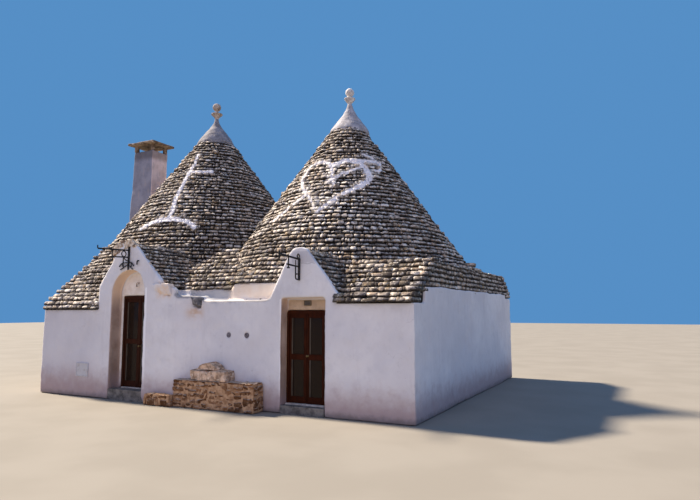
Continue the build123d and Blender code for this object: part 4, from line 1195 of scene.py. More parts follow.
def near(px, py, pz, r):
    p = np.array(S(px, py, pz))
    return np.clip((np.linalg.norm(co - p, axis=1) - r) / 0.25, 0, 1)


d = d * near(-6.745, -0.3, 0.595, 0.32) * near(-0.53, 0.24, 2.215, 0.14)
for hx in (-2.43, -1.94):
    d = d * near(hx, 0.0, 1.52, 0.10)
# inside the door recesses the walls stay near the true planes, clear of the leaves
for x0, x1, y0, y1 in ((-5.83, -4.68, -0.10, 0.4), (-1.05, 0.0, 0.12, 0.7)):
    x, y, z = co[:, 0] - SX, co[:, 1] - SY, co[:, 2] - SZ
    inside = (x > x0 - 0.05) & (x < x1 + 0.05) & (y > y0) & (y < y1)
    d = np.where(inside, d * 0.25, d)
co = co + nrm * d[:, None]
x, y, z = co[:, 0] - SX, co[:, 1] - SY, co[:, 2] - SZ


def ramp(v, a, b):
    t = np.clip((v - a) / (b - a), 0, 1)
    return t * t * (3 - 2 * t)


# the arch's right jamb leans in a little, and the plaster comes in close beside the spout
jamb = ramp(x, -5.15, -4.70) * (1 - ramp(x, -4.60, -4.25)) * (1 - ramp(z, 2.75, 3.0)) * ramp(z, 0.0, 0.1) * (1 - ramp(y, -0.02, 0.03))
beside = ramp(x, -3.235, -3.20) * (1 - ramp(x, -3.16, -2.95)) * ramp(z, 2.05, 2.14) * (1 - ramp(y, 0.14, 0.20))
co[:, 0] -= 0.038 * jamb + 0.060 * beside
# the wall's top dips between the spout and the square gable
dip = ramp(x, -3.20, -3.05) * (1 - ramp(x, -1.55, -1.25)) * ramp(z, 2.10, 2.30) * (1 - ramp(y, 0.28, 0.34)) * (z < 2.5)
co[:, 2] -= 0.040 * dip
lo, hi = np.array(CAD_BOX[0]), np.array(CAD_BOX[1])
co = np.clip(co, [lo[0], lo[1], 0.0], [hi[0], hi[1], hi[2]])
x, y = co[:, 0] - SX, co[:, 1] - SY
co[:, 0] = np.maximum(x, party_x(y)) + SX
set_co(me, co)
me = decimated(me, "walls", 0.42)
# two pieces, parted along the middle of the house
tri = np.zeros(len(me.polygons) * 3, np.int32)
me.polygons.foreach_get("vertices", tri)
tri = tri.reshape(-1, 3)
co = get_co(me)
front = co[tri].mean(1)[:, 1] < -2.2
for name, pick, nodes in (
    ("limewashed_front", front, ["front_wall_left", "arch_pier", "arched_gable", "corner_pier", "eave_wall", "middle_wall", "square_gable", "front_wall_right", "infill_left", "infill_right"]),
    ("limewashed_rear", ~front, ["party_wall_left_front", "party_wall_left_back", "party_wall_right", "back_wall"]),
):
    f = tri[pick]
    used, inv = np.unique(f, return_inverse=True)
    part = build_mesh(name, co[used], [inv.reshape(-1, 3)])
    ob = place(name, part, LIME, HOUSE)
    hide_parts(*nodes)
bpy.data.meshes.remove(me)

# ------------------------------------------------------------------ caps and pinnacles
def turned(name, cx, cy, prof, mat, segs=96, rim=0.0, amp=0.006, seed=5, top_limit=None, spread=0.0):
    """A turned form with an uneven surface. prof is (radius, z) from foot to top."""
    pts = []
    for (r0, z0), (r1, z1) in zip(prof[:-1], prof[1:]):
        n = max(1, int(math.hypot(r1 - r0, z1 - z0) / 0.02))
        for k in range(n):
            pts.append((r0 + (r1 - r0) * k / n, z0 + (z1 - z0) * k / n))
    pts.append(prof[-1])
    pts = np.array(pts)
    ang = np.linspace(0, 2 * math.pi, segs, endpoint=False)
    co = np.zeros((len(pts), segs, 3))
    co[:, :, 0] = cx + pts[:, 0, None] * np.cos(ang)[None]
    co[:, :, 1] = cy + pts[:, 0, None] * np.sin(ang)[None]
    co[:, :, 2] = pts[:, 1, None]
    flat = co.reshape(-1, 3) + np.array([SX, SY, SZ])
    n = len(flat)
    away = flat - np.array([cx + SX, cy + SY, 0])
    away[:, 2] = 0
    ln = np.linalg.norm(away, axis=1, keepdims=True)
    away = away / np.maximum(ln, 1e-6)
    d = amp * vnoise(flat, 9.0, seed) + amp * 0.9 * vnoise(flat, 3.5, seed + 1) + amp * 0.4 * vnoise(flat, 24.0, seed + 2)
    d = d * np.clip(ln[:, 0] / 0.05, 0, 1)
    flat = flat + away * d[:, None]
    if rim:
        zr = prof[0][1] + SZ
        w = np.clip(1 - (flat[:, 2] - zr) / 0.22, 0, 1)
        a = np.arctan2(away[:, 1], away[:, 0])
        circ = np.c_[np.cos(a), np.sin(a), np.zeros(n)]
        jag = rim * (vnoise(circ, 4.3, seed + 3) + 0.7 * vnoise(circ, 11.0, seed + 4))
        flat[:, 2] += w * jag
        flat = flat - away * (w * jag * 0.45)[:, None] + away * (w * spread)[:, None]
    if top_limit is not None:
        flat[:, 2] = np.minimum(flat[:, 2], top_limit)
    idx = np.arange(n).reshape(len(pts), segs)
    a, b = idx[:-1], idx[1:]
    quads = np.stack([a, np.roll(a, -1, 1), np.roll(b, -1, 1), b], -1).reshape(-1, 4)
    foot = idx[0][::-1][None]
    head = idx[-1][None]
    me = build_mesh(name, flat, [quads, foot, head])
    return place(name, me, mat, HOUSE)


CAPS = {
    "left": (CONES["left"], [(0.578, 7.620), (0.515, 7.735), (0.425, 7.855), (0.310, 8.005), (0.196, 8.150), (0.146, 8.225), (0.100, 8.315), (0.060, 8.450)], 7.58, 8.460, 0.188, 8.865, 0.134, PINNACLE_L),
    "right": (CONES["right"], [(0.552, 7.305), (0.486, 7.408), (0.412, 7.500), (0.318, 7.630), (0.230, 7.756), (0.157, 7.884), (0.120, 7.948), (0.068, 8.110)], 7.26, 8.120, 0.168, 8.480, 0.130, PINNACLE_R),
}
for side, (cone, prof, foot, cup, cup_r, ball, ball_r, pin) in CAPS.items():
    curve = spline(prof, 30)
    rim = prof[0][0]
    full = [(0.30, foot - 0.10), (rim + 0.010, foot - 0.10), (rim + 0.026, foot - 0.06), (rim + 0.022, foot - 0.01), (rim + 0.010, foot + 0.025)] + curve + [(0.02, curve[-1][1] + 0.006)]
    ob = turned(f"cap_{side}", cone["x"], cone["y"], full, CAP_L if side == "left" else CAP_R, 128, 0.034, 0.009, 41 if side == "left" else 51)
    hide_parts(f"white_cap_{side}")
    r = cup_r
    body = [(0.02, cup - 0.02), (0.057, cup - 0.02), (0.060, cup + 0.012), (0.078, cup + 0.045), (0.118, cup + 0.090), (r - 0.022, cup + 0.132), (r - 0.006, cup + 0.150),
            (r, cup + 0.164), (r - 0.005, cup + 0.178), (r - 0.026, cup + 0.190), (0.100, cup + 0.208), (0.062, cup + 0.226), (0.044, cup + 0.245), (0.042, ball - ball_r + 0.012), (0.02, ball - ball_r + 0.02)]
    turned(f"pinnacle_cup_{side}", cone["x"], cone["y"], spline(body, 60), pin, 64, 0, 0.005, 61)
    sphere = [(ball_r * math.sin(a), ball - ball_r * math.cos(a)) for a in np.linspace(0.12, math.pi - 0.08, 30)]
    limit = float(CAD_BOX[1][2]) - 0.0005
    ob = turned(f"pinnacle_ball_{side}", cone["x"], cone["y"], sphere, pin, 64, 0, 0.006 if side == "left" else 0.003, 71 if side == "left" else 81, top_limit=limit)
    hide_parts(f"pinnacle_{side}")

# ------------------------------------------------------------------ chimney
CHIM = Mat("chimney_lime")
mid = CHIM.noise(3.0, 5, 0.6)
# the chimney's lime is a dark bluish grey, partly a greyer render and partly painted shade; faces turned to +X are
# lighter and warmer as painted bounce light from the sunlit cone
cc = CHIM.mix(CHIM.remap(mid, 0.35, 0.65), (0.205, 0.205, 0.26), (0.275, 0.275, 0.335))
lit = CHIM.mix(CHIM.remap(mid, 0.35, 0.65), (0.66, 0.51, 0.49), (0.80, 0.64, 0.62))
cc = CHIM.mix(CHIM.remap(CHIM.facing("X"), 0.4, 0.8), cc, lit)
cc = CHIM.mix(CHIM.remap(CHIM.noise(7.0, 5, 0.65, stretch=(1.4, 1.4, 0.4)), 0.52, 0.72, 0.0, 0.55), cc, (0.36, 0.31, 0.31))
# soot under the slab, and inside the flue
soot = CHIM.remap(CHIM.axis("Z"), 7.02 + SZ, 7.22 + SZ, 0.0, 0.55)
cc = CHIM.mix(CHIM.math("MAXIMUM", soot, CHIM.remap(CHIM.facing("Z"), -0.3, -0.7)), cc, (0.05, 0.042, 0.038))
CHIM.set(Base_Color=cc, Roughness=0.9, Specular_IOR_Level=0.2, Normal=CHIM.bump(CHIM.math("ADD", CHIM.noise(30.0, 6, 0.6), CHIM.noise(9.0, 4, 0.5)), 0.5, 0.015))
ob = roughen("chimney_plaster", ["chimney_stack"], 0.025, CHIM.m, 3, ((2.0, 0.016), (7.0, 0.007)), 0.5, ground=False)
# the render coat thickens towards the foot on its left face
co = get_co(ob.data)
lean = np.clip((7.25 + SZ - co[:, 2]) / 1.55, 0, 1.5) * np.clip((co[:, 0].mean() - 0.10 - co[:, 0]) / 0.16, 0, 1)
co[:, 0] -= 0.085 * lean
set_co(ob.data, co)
CAPSTONE = weathered("chimney_slab", (0.13, 0.085, 0.055), (0.34, 0.25, 0.18), (0.56, 0.50, 0.43), 5.0, 0.5)
roughen("chimney_slab", ["chimney_cap"], 0.018, CAPSTONE, 2, ((3.0, 0.010), (11.0, 0.005)), 0.6, ground=False)

# ------------------------------------------------------------------ stone fittings
c, t = node_arrays(["rain_spout"])
c = c.astype(float)
# the stone tapers towards its lip and its underside slopes back to the wall
y, z = c[:, 1] - SY, c[:, 2] - SZ
front = np.clip((0.10 - y) / 0.28, 0, 1)
lowness = np.clip((2.36 - z) / 0.24, 0, 1)
c[:, 2] += front * lowness * 0.075
c[:, 1] += front * lowness * 0.050
c[:, 0] = -3.395 + SX + (c[:, 0] - (-3.395 + SX)) * 0.70
c[:, 0] += (-3.325 + SX - c[:, 0]) * 0.12 * lowness
ob = roughen("spout_stone", [], 0.011, SPOUT, 2, ((7.0, 0.009), (22.0, 0.005)), 0.6, co=c, faces=[t])
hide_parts("rain_spout")
# cream and brown lime crust on the arched gable's top; its pale tones are raised as painted sunlight
CRUST = weathered("gable_crust", (0.20, 0.120, 0.075), (1.0, 0.83, 0.64), (1.0, 0.96, 0.86), 9.0, 0.9, (1.0, 0.025))
line = [(-5.86, 3.40), (-5.70, 3.415), (-5.48, 3.525), (-5.27, 3.600), (-5.04, 3.600), (-5.06, 3.640), (-5.14, 3.720), (-5.20, 3.775), (-5.30, 3.790), (-5.465, 3.800), (-5.60, 3.780), (-5.69, 3.755), (-5.78, 3.670), (-5.85, 3.610), (-5.90, 3.500)]
n = len(line)
c = np.array([S(x, y, z) for y in (-0.322, -0.10) for x, z in line])
f = [np.array([[k, (k + 1) % n, n + (k + 1) % n, n + k] for k in range(n)]), np.array([list(range(n))[::-1]]), np.array([list(range(n, 2 * n))])]
roughen("gable_crust", [], 0.013, CRUST, 2, ((4.5, 0.026), (11.0, 0.020), (24.0, 0.010)), None, bias=0.006, co=c, faces=f)
# the shoulder: a flat ledge that swells out of the gable's foot
levels = [(2.415, -4.16, -3.865, -0.312), (2.50, -4.30, -3.870, -0.345), (2.585, -4.41, -3.885, -0.372), (2.635, -4.44, -3.895, -0.380), (2.680, -4.435, -3.900, -0.378)]
c = np.array([S(x, y, z) for z, x0, x1, yf in levels for x, y in ((x0, yf), (x1, yf), (x1 + 0.01, -0.13 if z < 2.6 else -0.20), (x0, -0.13 if z < 2.6 else -0.20))])
f = [np.array([[4 * j + k, 4 * j + (k + 1) % 4, 4 * j + 4 + (k + 1) % 4, 4 * j + 4 + k] for j in range(4) for k in range(4)]), np.array([[3, 2, 1, 0]]), np.array([[16, 17, 18, 19]])]
ob = roughen("shoulder_ledge", [], 0.014, LIME, 3, ((5.0, 0.012), (13.0, 0.007), (28.0, 0.003)), None, co=c, faces=f)
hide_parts("shoulder_slab")
roughen("bench_rock_block", ["bench_block"], 0.018, ROCK, 2, ((4.0, 0.022), (11.0, 0.012), (28.0, 0.006)), None, bias=0.004)
roughen("bench_rock_top", ["bench_top_stone"], 0.015, ROCK, 3, ((4.0, 0.022), (12.0, 0.012), (30.0, 0.006)), None, bias=0.002)
for n in ("step_left", "step_right"):
    NODES[n].data.materials.clear()
    NODES[n].data.materials.append(STEP)
    bevel(NODES[n], 0.012, 3)
NODES["floor"].data.materials.clear()
NODES["floor"].data.materials.append(FLOOR)

# ------------------------------------------------------------------ bench of tufa blocks
st = Stones(51)
r = st.rng


def block_rows(p0, u, out, length, zs, depth, mean, proud=0.014):
    for z0, z1 in zip(zs[:-1], zs[1:]):
        row(st, (p0[0] + out[0] * proud, p0[1] + out[1] * proud, 0), u, out, length, z0 + 0.010, z1 - 0.004, depth, mean, 0.0, 0.007, 0.018, 0.0, 0.014, rough=1.8, seam=0.020)


block_rows((-3.655, -0.368), (1, 0, 0), (0, -1, 0), 2.18, (-0.05, 0.065, 0.175, 0.290, 0.400, 0.500), 0.10, 0.185, 0.010)
block_rows((-1.463, -0.355), (0, 1, 0), (1, 0, 0), 0.340, (-0.05, 0.065, 0.175, 0.290, 0.400, 0.500), 0.08, 0.15, 0.006)
block_rows((-3.652, -0.015), (0, -1, 0), (-1, 0, 0), 0.340, (-0.05, 0.065, 0.175, 0.290, 0.400, 0.500), 0.08, 0.15, -0.004)
# top slabs
for y0, depth in ((-0.374, 0.17), (-0.20, 0.18)):
    row(st, (-3.655, y0, 0), (1, 0, 0), (0, -1, 0), 2.19, 0.495, 0.548, depth, 0.29, 0.0, 0.004, 0.012, 0.0, 0.006, rough=1.5, seam=0.008)


def rough_blocks(st, name, mat, voxel, amps, soft=2, lo=None, hi=None):
    """Blocks joined, remeshed and pitted, each vertex keeping its own block's tint."""
    corners = np.concatenate(st.c)
    tint = np.concatenate(st.tint)
    n = len(corners)
    off = (np.arange(n) * 8)[:, None, None]
    quads = (np.array(QUADS)[None] + off).reshape(-1, 4)
    me = remeshed(name, corners.reshape(-1, 3), [quads], voxel)
    co = smooth_co(me, get_co(me), soft)
    set_co(me, co)
    nrm = normals_of(me)
    d = np.zeros(len(co))
    for k, (f, a) in enumerate(amps):
        d += a * vnoise(co, f, 131 + k)
    # deep pits of the tufa
    pit = np.clip(vnoise(co, 30.0, 141) - 0.42, 0, 1) + 0.8 * np.clip(vnoise(co, 17.0, 142) - 0.5, 0, 1)
    co = co + nrm * (d - 0.030 * pit)[:, None]
    co[:, 2] = np.maximum(co[:, 2], 0.0)
    if lo is not None:
        co = np.clip(co, lo, hi)
    set_co(me, co)
    centre = corners.mean(1)
    near_block = np.zeros(len(co), int)
    for i in range(0, len(co), 4000):
        g = co[i : i + 4000, None, :] - centre[None]
        g = np.abs(g) / np.maximum(corners.max(1) - corners.min(1), 0.02)[None]
        near_block[i : i + 4000] = g.max(2).argmin(1)
    attribute(me, "tint", tint[near_block])
    return place(name, me, mat, HOUSE)


BENCH_LO, BENCH_HI = np.array(S(-3.70, -0.392, -0.06)), np.array(S(-1.44, 0.02, 0.56))
rough_blocks(st, "bench_blocks", TUFA, 0.0105, ((9.0, 0.0065), (22.0, 0.0045), (48.0, 0.0025)), 2, BENCH_LO, BENCH_HI)
# the low bed beside it: broken blocks under a lump of mortar
st = Stones(53)
row(st, (-4.405, -0.490, 0), (1, 0, 0), (0, -1, 0), 0.74, -0.05, 0.085, 0.10, 0.20, 0.0, 0.010, 0.020, rough=2.4, seam=0.03)
row(st, (-4.375, -0.478, 0), (1, 0, 0), (0, -1, 0), 0.68, 0.080, 0.185, 0.12, 0.24, 0.0, 0.012, 0.020, rough=2.6, seam=0.05)
row(st, (-4.408, -0.31, 0), (0, -1, 0), (-1, 0, 0), 0.17, -0.05, 0.100, 0.10, 0.16, 0.0, 0.006, 0.012, rough=2.0, seam=0.03)
row(st, (-3.66, -0.49, 0), (0, 1, 0), (1, 0, 0), 0.17, -0.05, 0.100, 0.10, 0.16, 0.0, 0.006, 0.012, rough=2.0, seam=0.03)
rough_blocks(st, "low_bed_blocks", TUFA, 0.0095, ((8.0, 0.009), (20.0, 0.006), (45.0, 0.003)), 2, np.array(S(-4.425, -0.505, -0.06)), np.array(S(-3.64, -0.30, 0.25)))
c, t = node_arrays(["low_bed"])
c = c.astype(float)
c[:, 2] -= np.where(c[:, 2] > 0.15, 0.035, 0)
ob = roughen("low_bed_mortar", [], 0.014, MORTAR, 3, ((4.0, 0.018), (10.0, 0.012), (26.0, 0.006)), None, bias=0.012, co=c, faces=[t])
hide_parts("low_bed")
ob = roughen("bench_mortar_core", ["bench"], 0.016, MORTAR, 1, ((6.0, 0.005), (18.0, 0.004)), 0.6, bias=0.006)

# ------------------------------------------------------------------ bars, rings and small fittings
def bars(name, specs, mat, body=HOUSE, width=0.003, segments=2):
    """specs: (low corner, high corner) boxes in survey metres, joined into one bevelled piece."""
    co, quads = [], []
    for k, (a, b) in enumerate(specs):
        a, b = S(*a), S(*b)
        for z in (a[2], b[2]):
            for x, y in ((a[0], a[1]), (b[0], a[1]), (b[0], b[1]), (a[0], b[1])):
                co.append((x, y, z))
        o = 8 * k
        quads += [(o, o + 3, o + 2, o + 1), (o + 4, o + 5, o + 6, o + 7), (o, o + 1, o + 5, o + 4), (o + 1, o + 2, o + 6, o + 5), (o + 2, o + 3, o + 7, o + 6), (o + 3, o, o + 4, o + 7)]
    me = build_mesh(name, np.array(co), [np.array(quads)])
    ob = place(name, me, mat, body)
    return bevel(ob, width, segments)


def curve_piece(name, strokes, mat, depth, body=HOUSE, resolution=3):
    """Round bars along smooth lines: strokes are lists of survey points, each with its own radius factor."""
    cu = bpy.data.curves.new(name, "CURVE")
    cu.dimensions = "3D"
    cu.bevel_depth = depth
    cu.bevel_resolution = resolution
    cu.use_fill_caps = True
    for pts, radius, smooth in strokes:
        s = cu.splines.new("NURBS" if smooth else "POLY")
        s.points.add(len(pts) - 1)
        for q, p in zip(s.points, pts):
            q.co = (*S(*p), 1)
            q.radius = radius
        if smooth:
            s.order_u = 3
            s.use_endpoint_u = True
    tmp = bpy.data.objects.new(name + "_tmp", cu)
    bpy.context.scene.collection.objects.link(tmp)
    me = evaluated(tmp, name)
    bpy.data.objects.remove(tmp)
    bpy.data.curves.remove(cu)
    return place(name, me, mat, body)


# stone sills under the two door frames
SILL = weathered("sill_stone", (0.34, 0.31, 0.29), (0.58, 0.55, 0.52), (0.42, 0.38, 0.34), 7.0, 0.4)
bars("sill_left", [((-5.70, -0.02, 0.185), (-4.70, 0.055, 0.210))], SILL, width=0.006)
bars("sill_right", [((-1.03, 0.17, 0.095), (-0.10, 0.262, 0.128))], SILL, width=0.006)

# ------------------------------------------------------------------ doors
DOORS = {
    "left": dict(x0=-5.76, x1=-4.68, y=0.060, foot=0.19, head=2.42, wood=WOOD_L),
    "right": dict(x0=-1.05, x1=-0.09, y=0.270, foot=0.10, head=2.06, wood=WOOD_R),
}
for side, d in DOORS.items():
    NODES[f"door_frame_{side}"].data.materials.clear()
    NODES[f"door_frame_{side}"].data.materials.append(d["wood"])
    bevel(NODES[f"door_frame_{side}"], 0.004)
    width = d["x1"] - d["x0"]
    foot, top = d["foot"] + 0.012, d["head"] - 0.051
    leaf_w = width / 2 - 0.041 - 0.005
    leaf_h = top - foot
    pane_h = (leaf_h - 0.095 - 0.095 - 0.140) / 2
    for hand in "ab":
        body = f"leaf_{side}_{hand}"
        xl = d["x0"] + 0.041 if hand == "a" else d["x1"] - 0.041 - leaf_w
        leaf = NODES[f"door_leaf_{side}_{hand}"]
        leaf.data.materials.clear()
        leaf.data.materials.append(d["wood"])
        bevel(leaf, 0.004)
        g = NODES[f"door_glass_{side}_{hand}"]
        g.data.materials.clear()
        g.data.materials.append(GLASS)
        beads, pale = [], []
        px0, px1 = xl + 0.058, xl + leaf_w - 0.058
        y = d["y"]
        for z0 in (foot + 0.140, top - 0.095 - pane_h):
            z1 = z0 + pane_h
            w = 0.013
            ya, yb = y + 0.006, y + 0.0185
            beads += [((px0, ya, z0), (px1, yb, z0 + w)), ((px0, ya, z1 - w), (px1, yb, z1)), ((px1 - w, ya, z0 + w), (px1, yb, z1 - w))]
            # the wide left bead of each pane, lighter as painted light caught on its side
            pale += [((px0, ya, z0 + w), (px0 + 0.034, yb, z1 - w))]
            yc, yd = y + 0.0265, y + 0.040
            beads += [((px0, yc, z0), (px1, yd, z0 + w)), ((px0, yc, z1 - w), (px1, yd, z1)), ((px1 - w, yc, z0 + w), (px1, yd, z1 - w)), ((px0, yc, z0 + w), (px0 + w, yd, z1 - w))]
        # rails' raised edge, and a drip rail at the foot
        beads += [((xl + 0.03, y - 0.010, foot + 0.030), (xl + leaf_w - 0.03, y + 0.004, foot + 0.060))]
        bars(f"beads_{side}_{hand}", beads, d["wood"], body, 0.003)
        bars(f"beads_pale_{side}_{hand}", pale, BEAD_HIGHLIGHT, body, 0.003)
        # x just beside the leaf's hinged edge; no hinge knuckles are built
        hx = xl - 0.004 if hand == "a" else xl + leaf_w + 0.004
    # meeting strip on the b leaf's room side
    xm = (d["x0"] + d["x1"]) / 2
    bars(f"meeting_strip_{side}", [((xm + 0.006, d["y"] - 0.012, foot + 0.01), (xm + 0.040, d["y"] + 0.004, top - 0.01))], d["wood"], f"leaf_{side}_b", 0.004)
    k = NODES[f"door_knob_{side}"]
    k.data.materials.clear()
    k.data.materials.append(BRASS)

# ------------------------------------------------------------------ iron brackets
P = -0.312
X1 = -5.28
strokes = [
    ([(X1, P, 3.20), (X1, P, 3.60)], 1.5, False),
    ([(X1, P - 0.01, 3.512), (X1, -0.80, 3.492), (X1, -1.195, 3.478)], 1.15, False),
    ([(X1, -1.19, 3.478), (X1, -1.207, 3.490), (X1, -1.212, 3.530), (X1, -1.208, 3.552)], 0.85, True),
    ([(X1, P - 0.01, 3.342), (X1, -0.60, 3.330), (X1, -0.866, 3.318)], 1.0, False),
    ([(X1, -0.795, 3.49), (X1, -0.795, 3.25)], 0.8, False),
    ([(X1, -0.795, 3.262), (X1, -0.795, 3.235)], 1.8, False),
    ([(X1, -0.471, 3.315), (X1, -0.471, 3.12)], 0.85, False),
    ([(X1, -0.471 , 3.13), (X1, -0.471, 3.108)], 1.4, False),
    # ring between the arms
    ([(X1, -0.461 + 0.065 * math.cos(a), 3.415 + 0.065 * math.sin(a)) for a in np.linspace(0, 2 * math.pi, 13)], 0.8, False),
    # brace scroll in the corner under the lower arm
    ([(X1, P - 0.01, 3.25), (X1, -0.37, 3.255), (X1, -0.43, 3.285), (X1, -0.455, 3.33)], 0.75, True),
    # the post's foot
    ([(X1, P, 3.21), (X1, P - 0.010, 3.12), (X1, P - 0.004, 3.035)], 1.1, True),
]
# leaves at the foot of the post
for sx, reach in ((-1, 0.30), (1, 0.185)):
    f = reach / 0.19
    strokes += [
        ([(X1, P, 3.20), (X1 + sx * 0.07 * f, P - 0.012, 3.225), (X1 + sx * 0.15 * f, P - 0.012, 3.195), (X1 + sx * 0.19 * f, P - 0.006, 3.125)], 0.9, True),
        ([(X1, P, 3.17), (X1 + sx * 0.06 * f, P - 0.012, 3.130), (X1 + sx * 0.115 * f, P - 0.012, 3.075), (X1 + sx * 0.165 * f, P - 0.006, 3.050)], 0.8, True),
        ([(X1 + sx * 0.11 * f, P - 0.012, 3.200), (X1 + sx * 0.125 * f, P - 0.014, 3.150), (X1 + sx * 0.100 * f, P - 0.012, 3.100)], 0.7, True),
    ]
ob = curve_piece("bracket_iron_left", strokes, IRON, 0.0165)
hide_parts("bracket_left")
P, X2 = -0.014, -0.60
strokes = [
    ([(X2, P, 2.684), (X2, P, 3.150)], 1.6, False),
    ([(X2, P - 0.01, 3.128), (X2, -0.40, 3.156), (X2, -0.752, 3.183)], 1.25, False),
    ([(X2, -0.757, 3.084), (X2, -0.761, 3.16), (X2, -0.757, 3.20), (X2, -0.755, 3.248)], 0.9, True),
    ([(X2, P - 0.01, 2.970), (X2, -0.25, 2.980), (X2, -0.470, 2.994)], 1.1, False),
    ([(X2, -0.419, 3.155), (X2, -0.419, 2.93)], 0.8, False),
    ([(X2, -0.419, 2.940), (X2, -0.419, 2.912)], 1.9, False),
    # rail beside the post
    ([(X2, -0.150, 3.10), (X2, -0.150, 2.96)], 0.55, False),
    ([(X2, -0.150, 2.975), (X2, -0.150, 2.73), (X2, -0.130, 2.705), (X2, P - 0.01, 2.700)], 0.85, True),
    ([(X2, -0.150, 2.814), (X2, P - 0.01, 2.814)], 0.8, False),
    # ring on top of the post
    ([(X2, -0.030 + 0.040 * math.cos(a) - 0.020, 3.195 + 0.040 * math.sin(a)) for a in np.linspace(0, 2 * math.pi, 13)], 0.8, False),
]
ob = curve_piece("bracket_iron_right", strokes, IRON, 0.0165)
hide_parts("bracket_right")

# ------------------------------------------------------------------ plate, hatch, vents, bell
ob = NODES["number_plate"]
ob.data.materials.clear()
ob.data.materials.append(PLATE)
bevel(ob, 0.003)
bars("number_plate_rim", [
    ((-0.617, 0.2185, 2.162), (-0.443, 0.2265, 2.171)), ((-0.617, 0.2185, 2.259), (-0.443, 0.2265, 2.268)),
    ((-0.617, 0.2185, 2.171), (-0.608, 0.2265, 2.259)), ((-0.452, 0.2185, 2.171), (-0.443, 0.2265, 2.259)),
], BRASS, width=0.002)
ob = NODES["wall_hatch"]
ob.data.materials.clear()
ob.data.materials.append(STEEL)
bevel(ob, 0.003)
F = -0.318
bars("hatch_frame", [
    ((-6.96, F - 0.008, 0.43), (-6.53, F + 0.002, 0.452)), ((-6.96, F - 0.008, 0.738), (-6.53, F + 0.002, 0.76)),
    ((-6.96, F - 0.008, 0.452), (-6.938, F + 0.002, 0.738)), ((-6.552, F - 0.008, 0.452), (-6.53, F + 0.002, 0.738)),
    ((-6.575, F - 0.010, 0.575), (-6.558, F + 0.002, 0.615)),
], STEEL, width=0.003)

VENT = weathered("vent_mesh", (0.16, 0.14, 0.16), (0.30, 0.28, 0.32), (0.22, 0.17, 0.15), 14.0, 0.5, (0.3, 0.004))
st_r = []
for hx in (-2.43, -1.94):
    a = np.linspace(0, 2 * math.pi, 33)
    st_r.append(([(hx + 0.050 * math.cos(v), 0.004, 1.52 + 0.050 * math.sin(v)) for v in a], 1.0, False))
    for k in (-0.036, -0.024, -0.012, 0.0, 0.012, 0.024, 0.036):
        w = math.sqrt(0.050**2 - k * k)
        st_r.append(([(hx - w, 0.010, 1.52 + k), (hx + w, 0.010, 1.52 + k)], 0.55, False))
        st_r.append(([(hx + k, 0.014, 1.52 - w), (hx + k, 0.014, 1.52 + w)], 0.55, False))
curve_piece("vent_grilles", st_r, VENT, 0.0065, resolution=1)

# small bell on the plaster over the arched door, and a hook on the gable
B = (-5.250, 0.015, 2.700)
BELL = Mat("aged_bell")
BELL.set(Base_Color=BELL.mix(BELL.noise(40.0, 4, 0.6), (0.20, 0.15, 0.12), (0.34, 0.27, 0.22)), Metallic=0.6, Roughness=BELL.remap(BELL.noise(30.0, 3, 0.5), 0.3, 0.7, 0.45, 0.65))
bars("bell_plate", [((B[0] - 0.012, B[1] - 0.014, B[2] + 0.005), (B[0] + 0.012, B[1] + 0.006, B[2] + 0.050))], BELL.m, width=0.003)
curve_piece("bell_arm", [
    ([(B[0], B[1] - 0.01, B[2] + 0.030), (B[0], B[1] - 0.04, B[2] + 0.045), (B[0], B[1] - 0.065, B[2] + 0.038), (B[0], B[1] - 0.07, B[2] + 0.018)], 0.6, True),
], BELL.m, 0.009)
prof = [(0.008, B[2] + 0.024), (0.012, B[2] + 0.018), (0.014, B[2] - 0.010), (0.017, B[2] - 0.040), (0.023, B[2] - 0.060), (0.021, B[2] - 0.062), (0.008, B[2] - 0.050)]
turned("bell", B[0], B[1] - 0.07, prof, BELL.m, 32, 0, 0.0005, 91)
curve_piece("gable_hook", [([(-4.963, -0.285, 3.250), (-4.963, -0.328, 3.250), (-4.963, -0.342, 3.210), (-4.963, -0.338, 3.150)], 1.3, True)], IRON, 0.013)

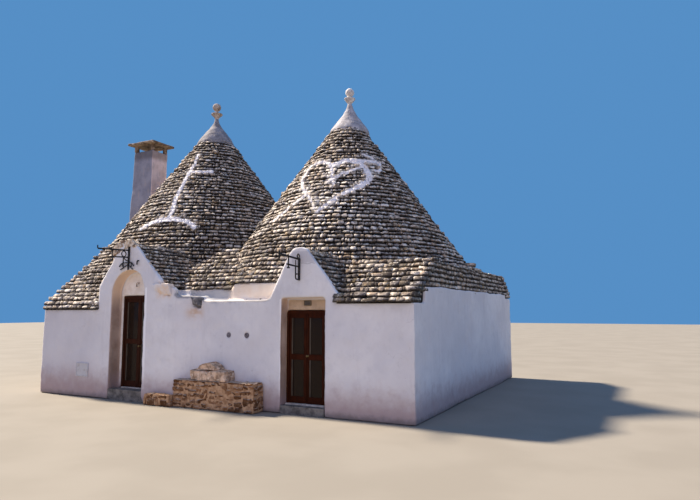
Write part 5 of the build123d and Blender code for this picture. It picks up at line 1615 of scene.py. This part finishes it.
for n in ("limewashed_front", "limewashed_rear"):
    me = bpy.data.objects[n].data
    set_co(me, np.clip(get_co(me), np.array(CAD_BOX[0]) + 0.0002, np.array(CAD_BOX[1]) - 0.0002))

# anything of the frame not yet given a finish
for n, ob in NODES.items():
    if not ob.hide_render and not ob.data.materials:
        ob.data.materials.append(SLAB)

# ------------------------------------------------------------------ floor, light and camera
m = Mat("studio_floor")
m.set(Base_Color=m.mix(m.remap(m.noise(0.6, 3, 0.5), 0.35, 0.65), (0.225, 0.205, 0.180), (0.245, 0.224, 0.198)), Roughness=0.9, Specular_IOR_Level=0.2)
me = build_mesh("studio_floor", np.array([(-90, -90, -0.004), (90, -90, -0.004), (90, 90, -0.004), (-90, 90, -0.004)]), [np.array([[0, 1, 2, 3]])])
ob = bpy.data.objects.new("studio_floor", me)
me.materials.append(m.m)
bpy.context.scene.collection.objects.link(ob)

world = bpy.data.worlds.new("studio")
bpy.context.scene.world = world
world.use_nodes = True
bg = world.node_tree.nodes["Background"]
bg.inputs["Color"].default_value = (0.12, 0.35, 0.72, 1)
bg.inputs["Strength"].default_value = 0.78

key = bpy.data.lights.new("key", "SUN")
key.energy = 10.8
key.angle = math.radians(5)
key.color = (1.0, 0.865, 0.675)
ob = bpy.data.objects.new("key", key)
bpy.context.scene.collection.objects.link(ob)
from mathutils import Vector

to_sun = Vector((-0.70, 0.055, 0.68)).normalized()
ob.rotation_euler = to_sun.to_track_quat("Z", "Y").to_euler()

fill = bpy.data.lights.new("fill", "SUN")
fill.energy = 0.95
fill.angle = math.radians(80)
fill.color = (1.0, 0.70, 0.62)
ob = bpy.data.objects.new("fill", fill)
bpy.context.scene.collection.objects.link(ob)
ob.rotation_euler = Vector((0.30, -0.85, 0.42)).normalized().to_track_quat("Z", "Y").to_euler()

cam = bpy.data.cameras.new("camera")
cam.lens = 29.314
cam.sensor_width = 36
cam.clip_end = 300
ob = bpy.data.objects.new("camera", cam)
bpy.context.scene.collection.objects.link(ob)
ob.location = (9.8206, -13.9021, 2.11)
ob.rotation_euler = (math.radians(90 + 6.1), 0, math.radians(27.1))
bpy.context.scene.camera = ob
bpy.context.scene.view_settings.view_transform = "Standard"
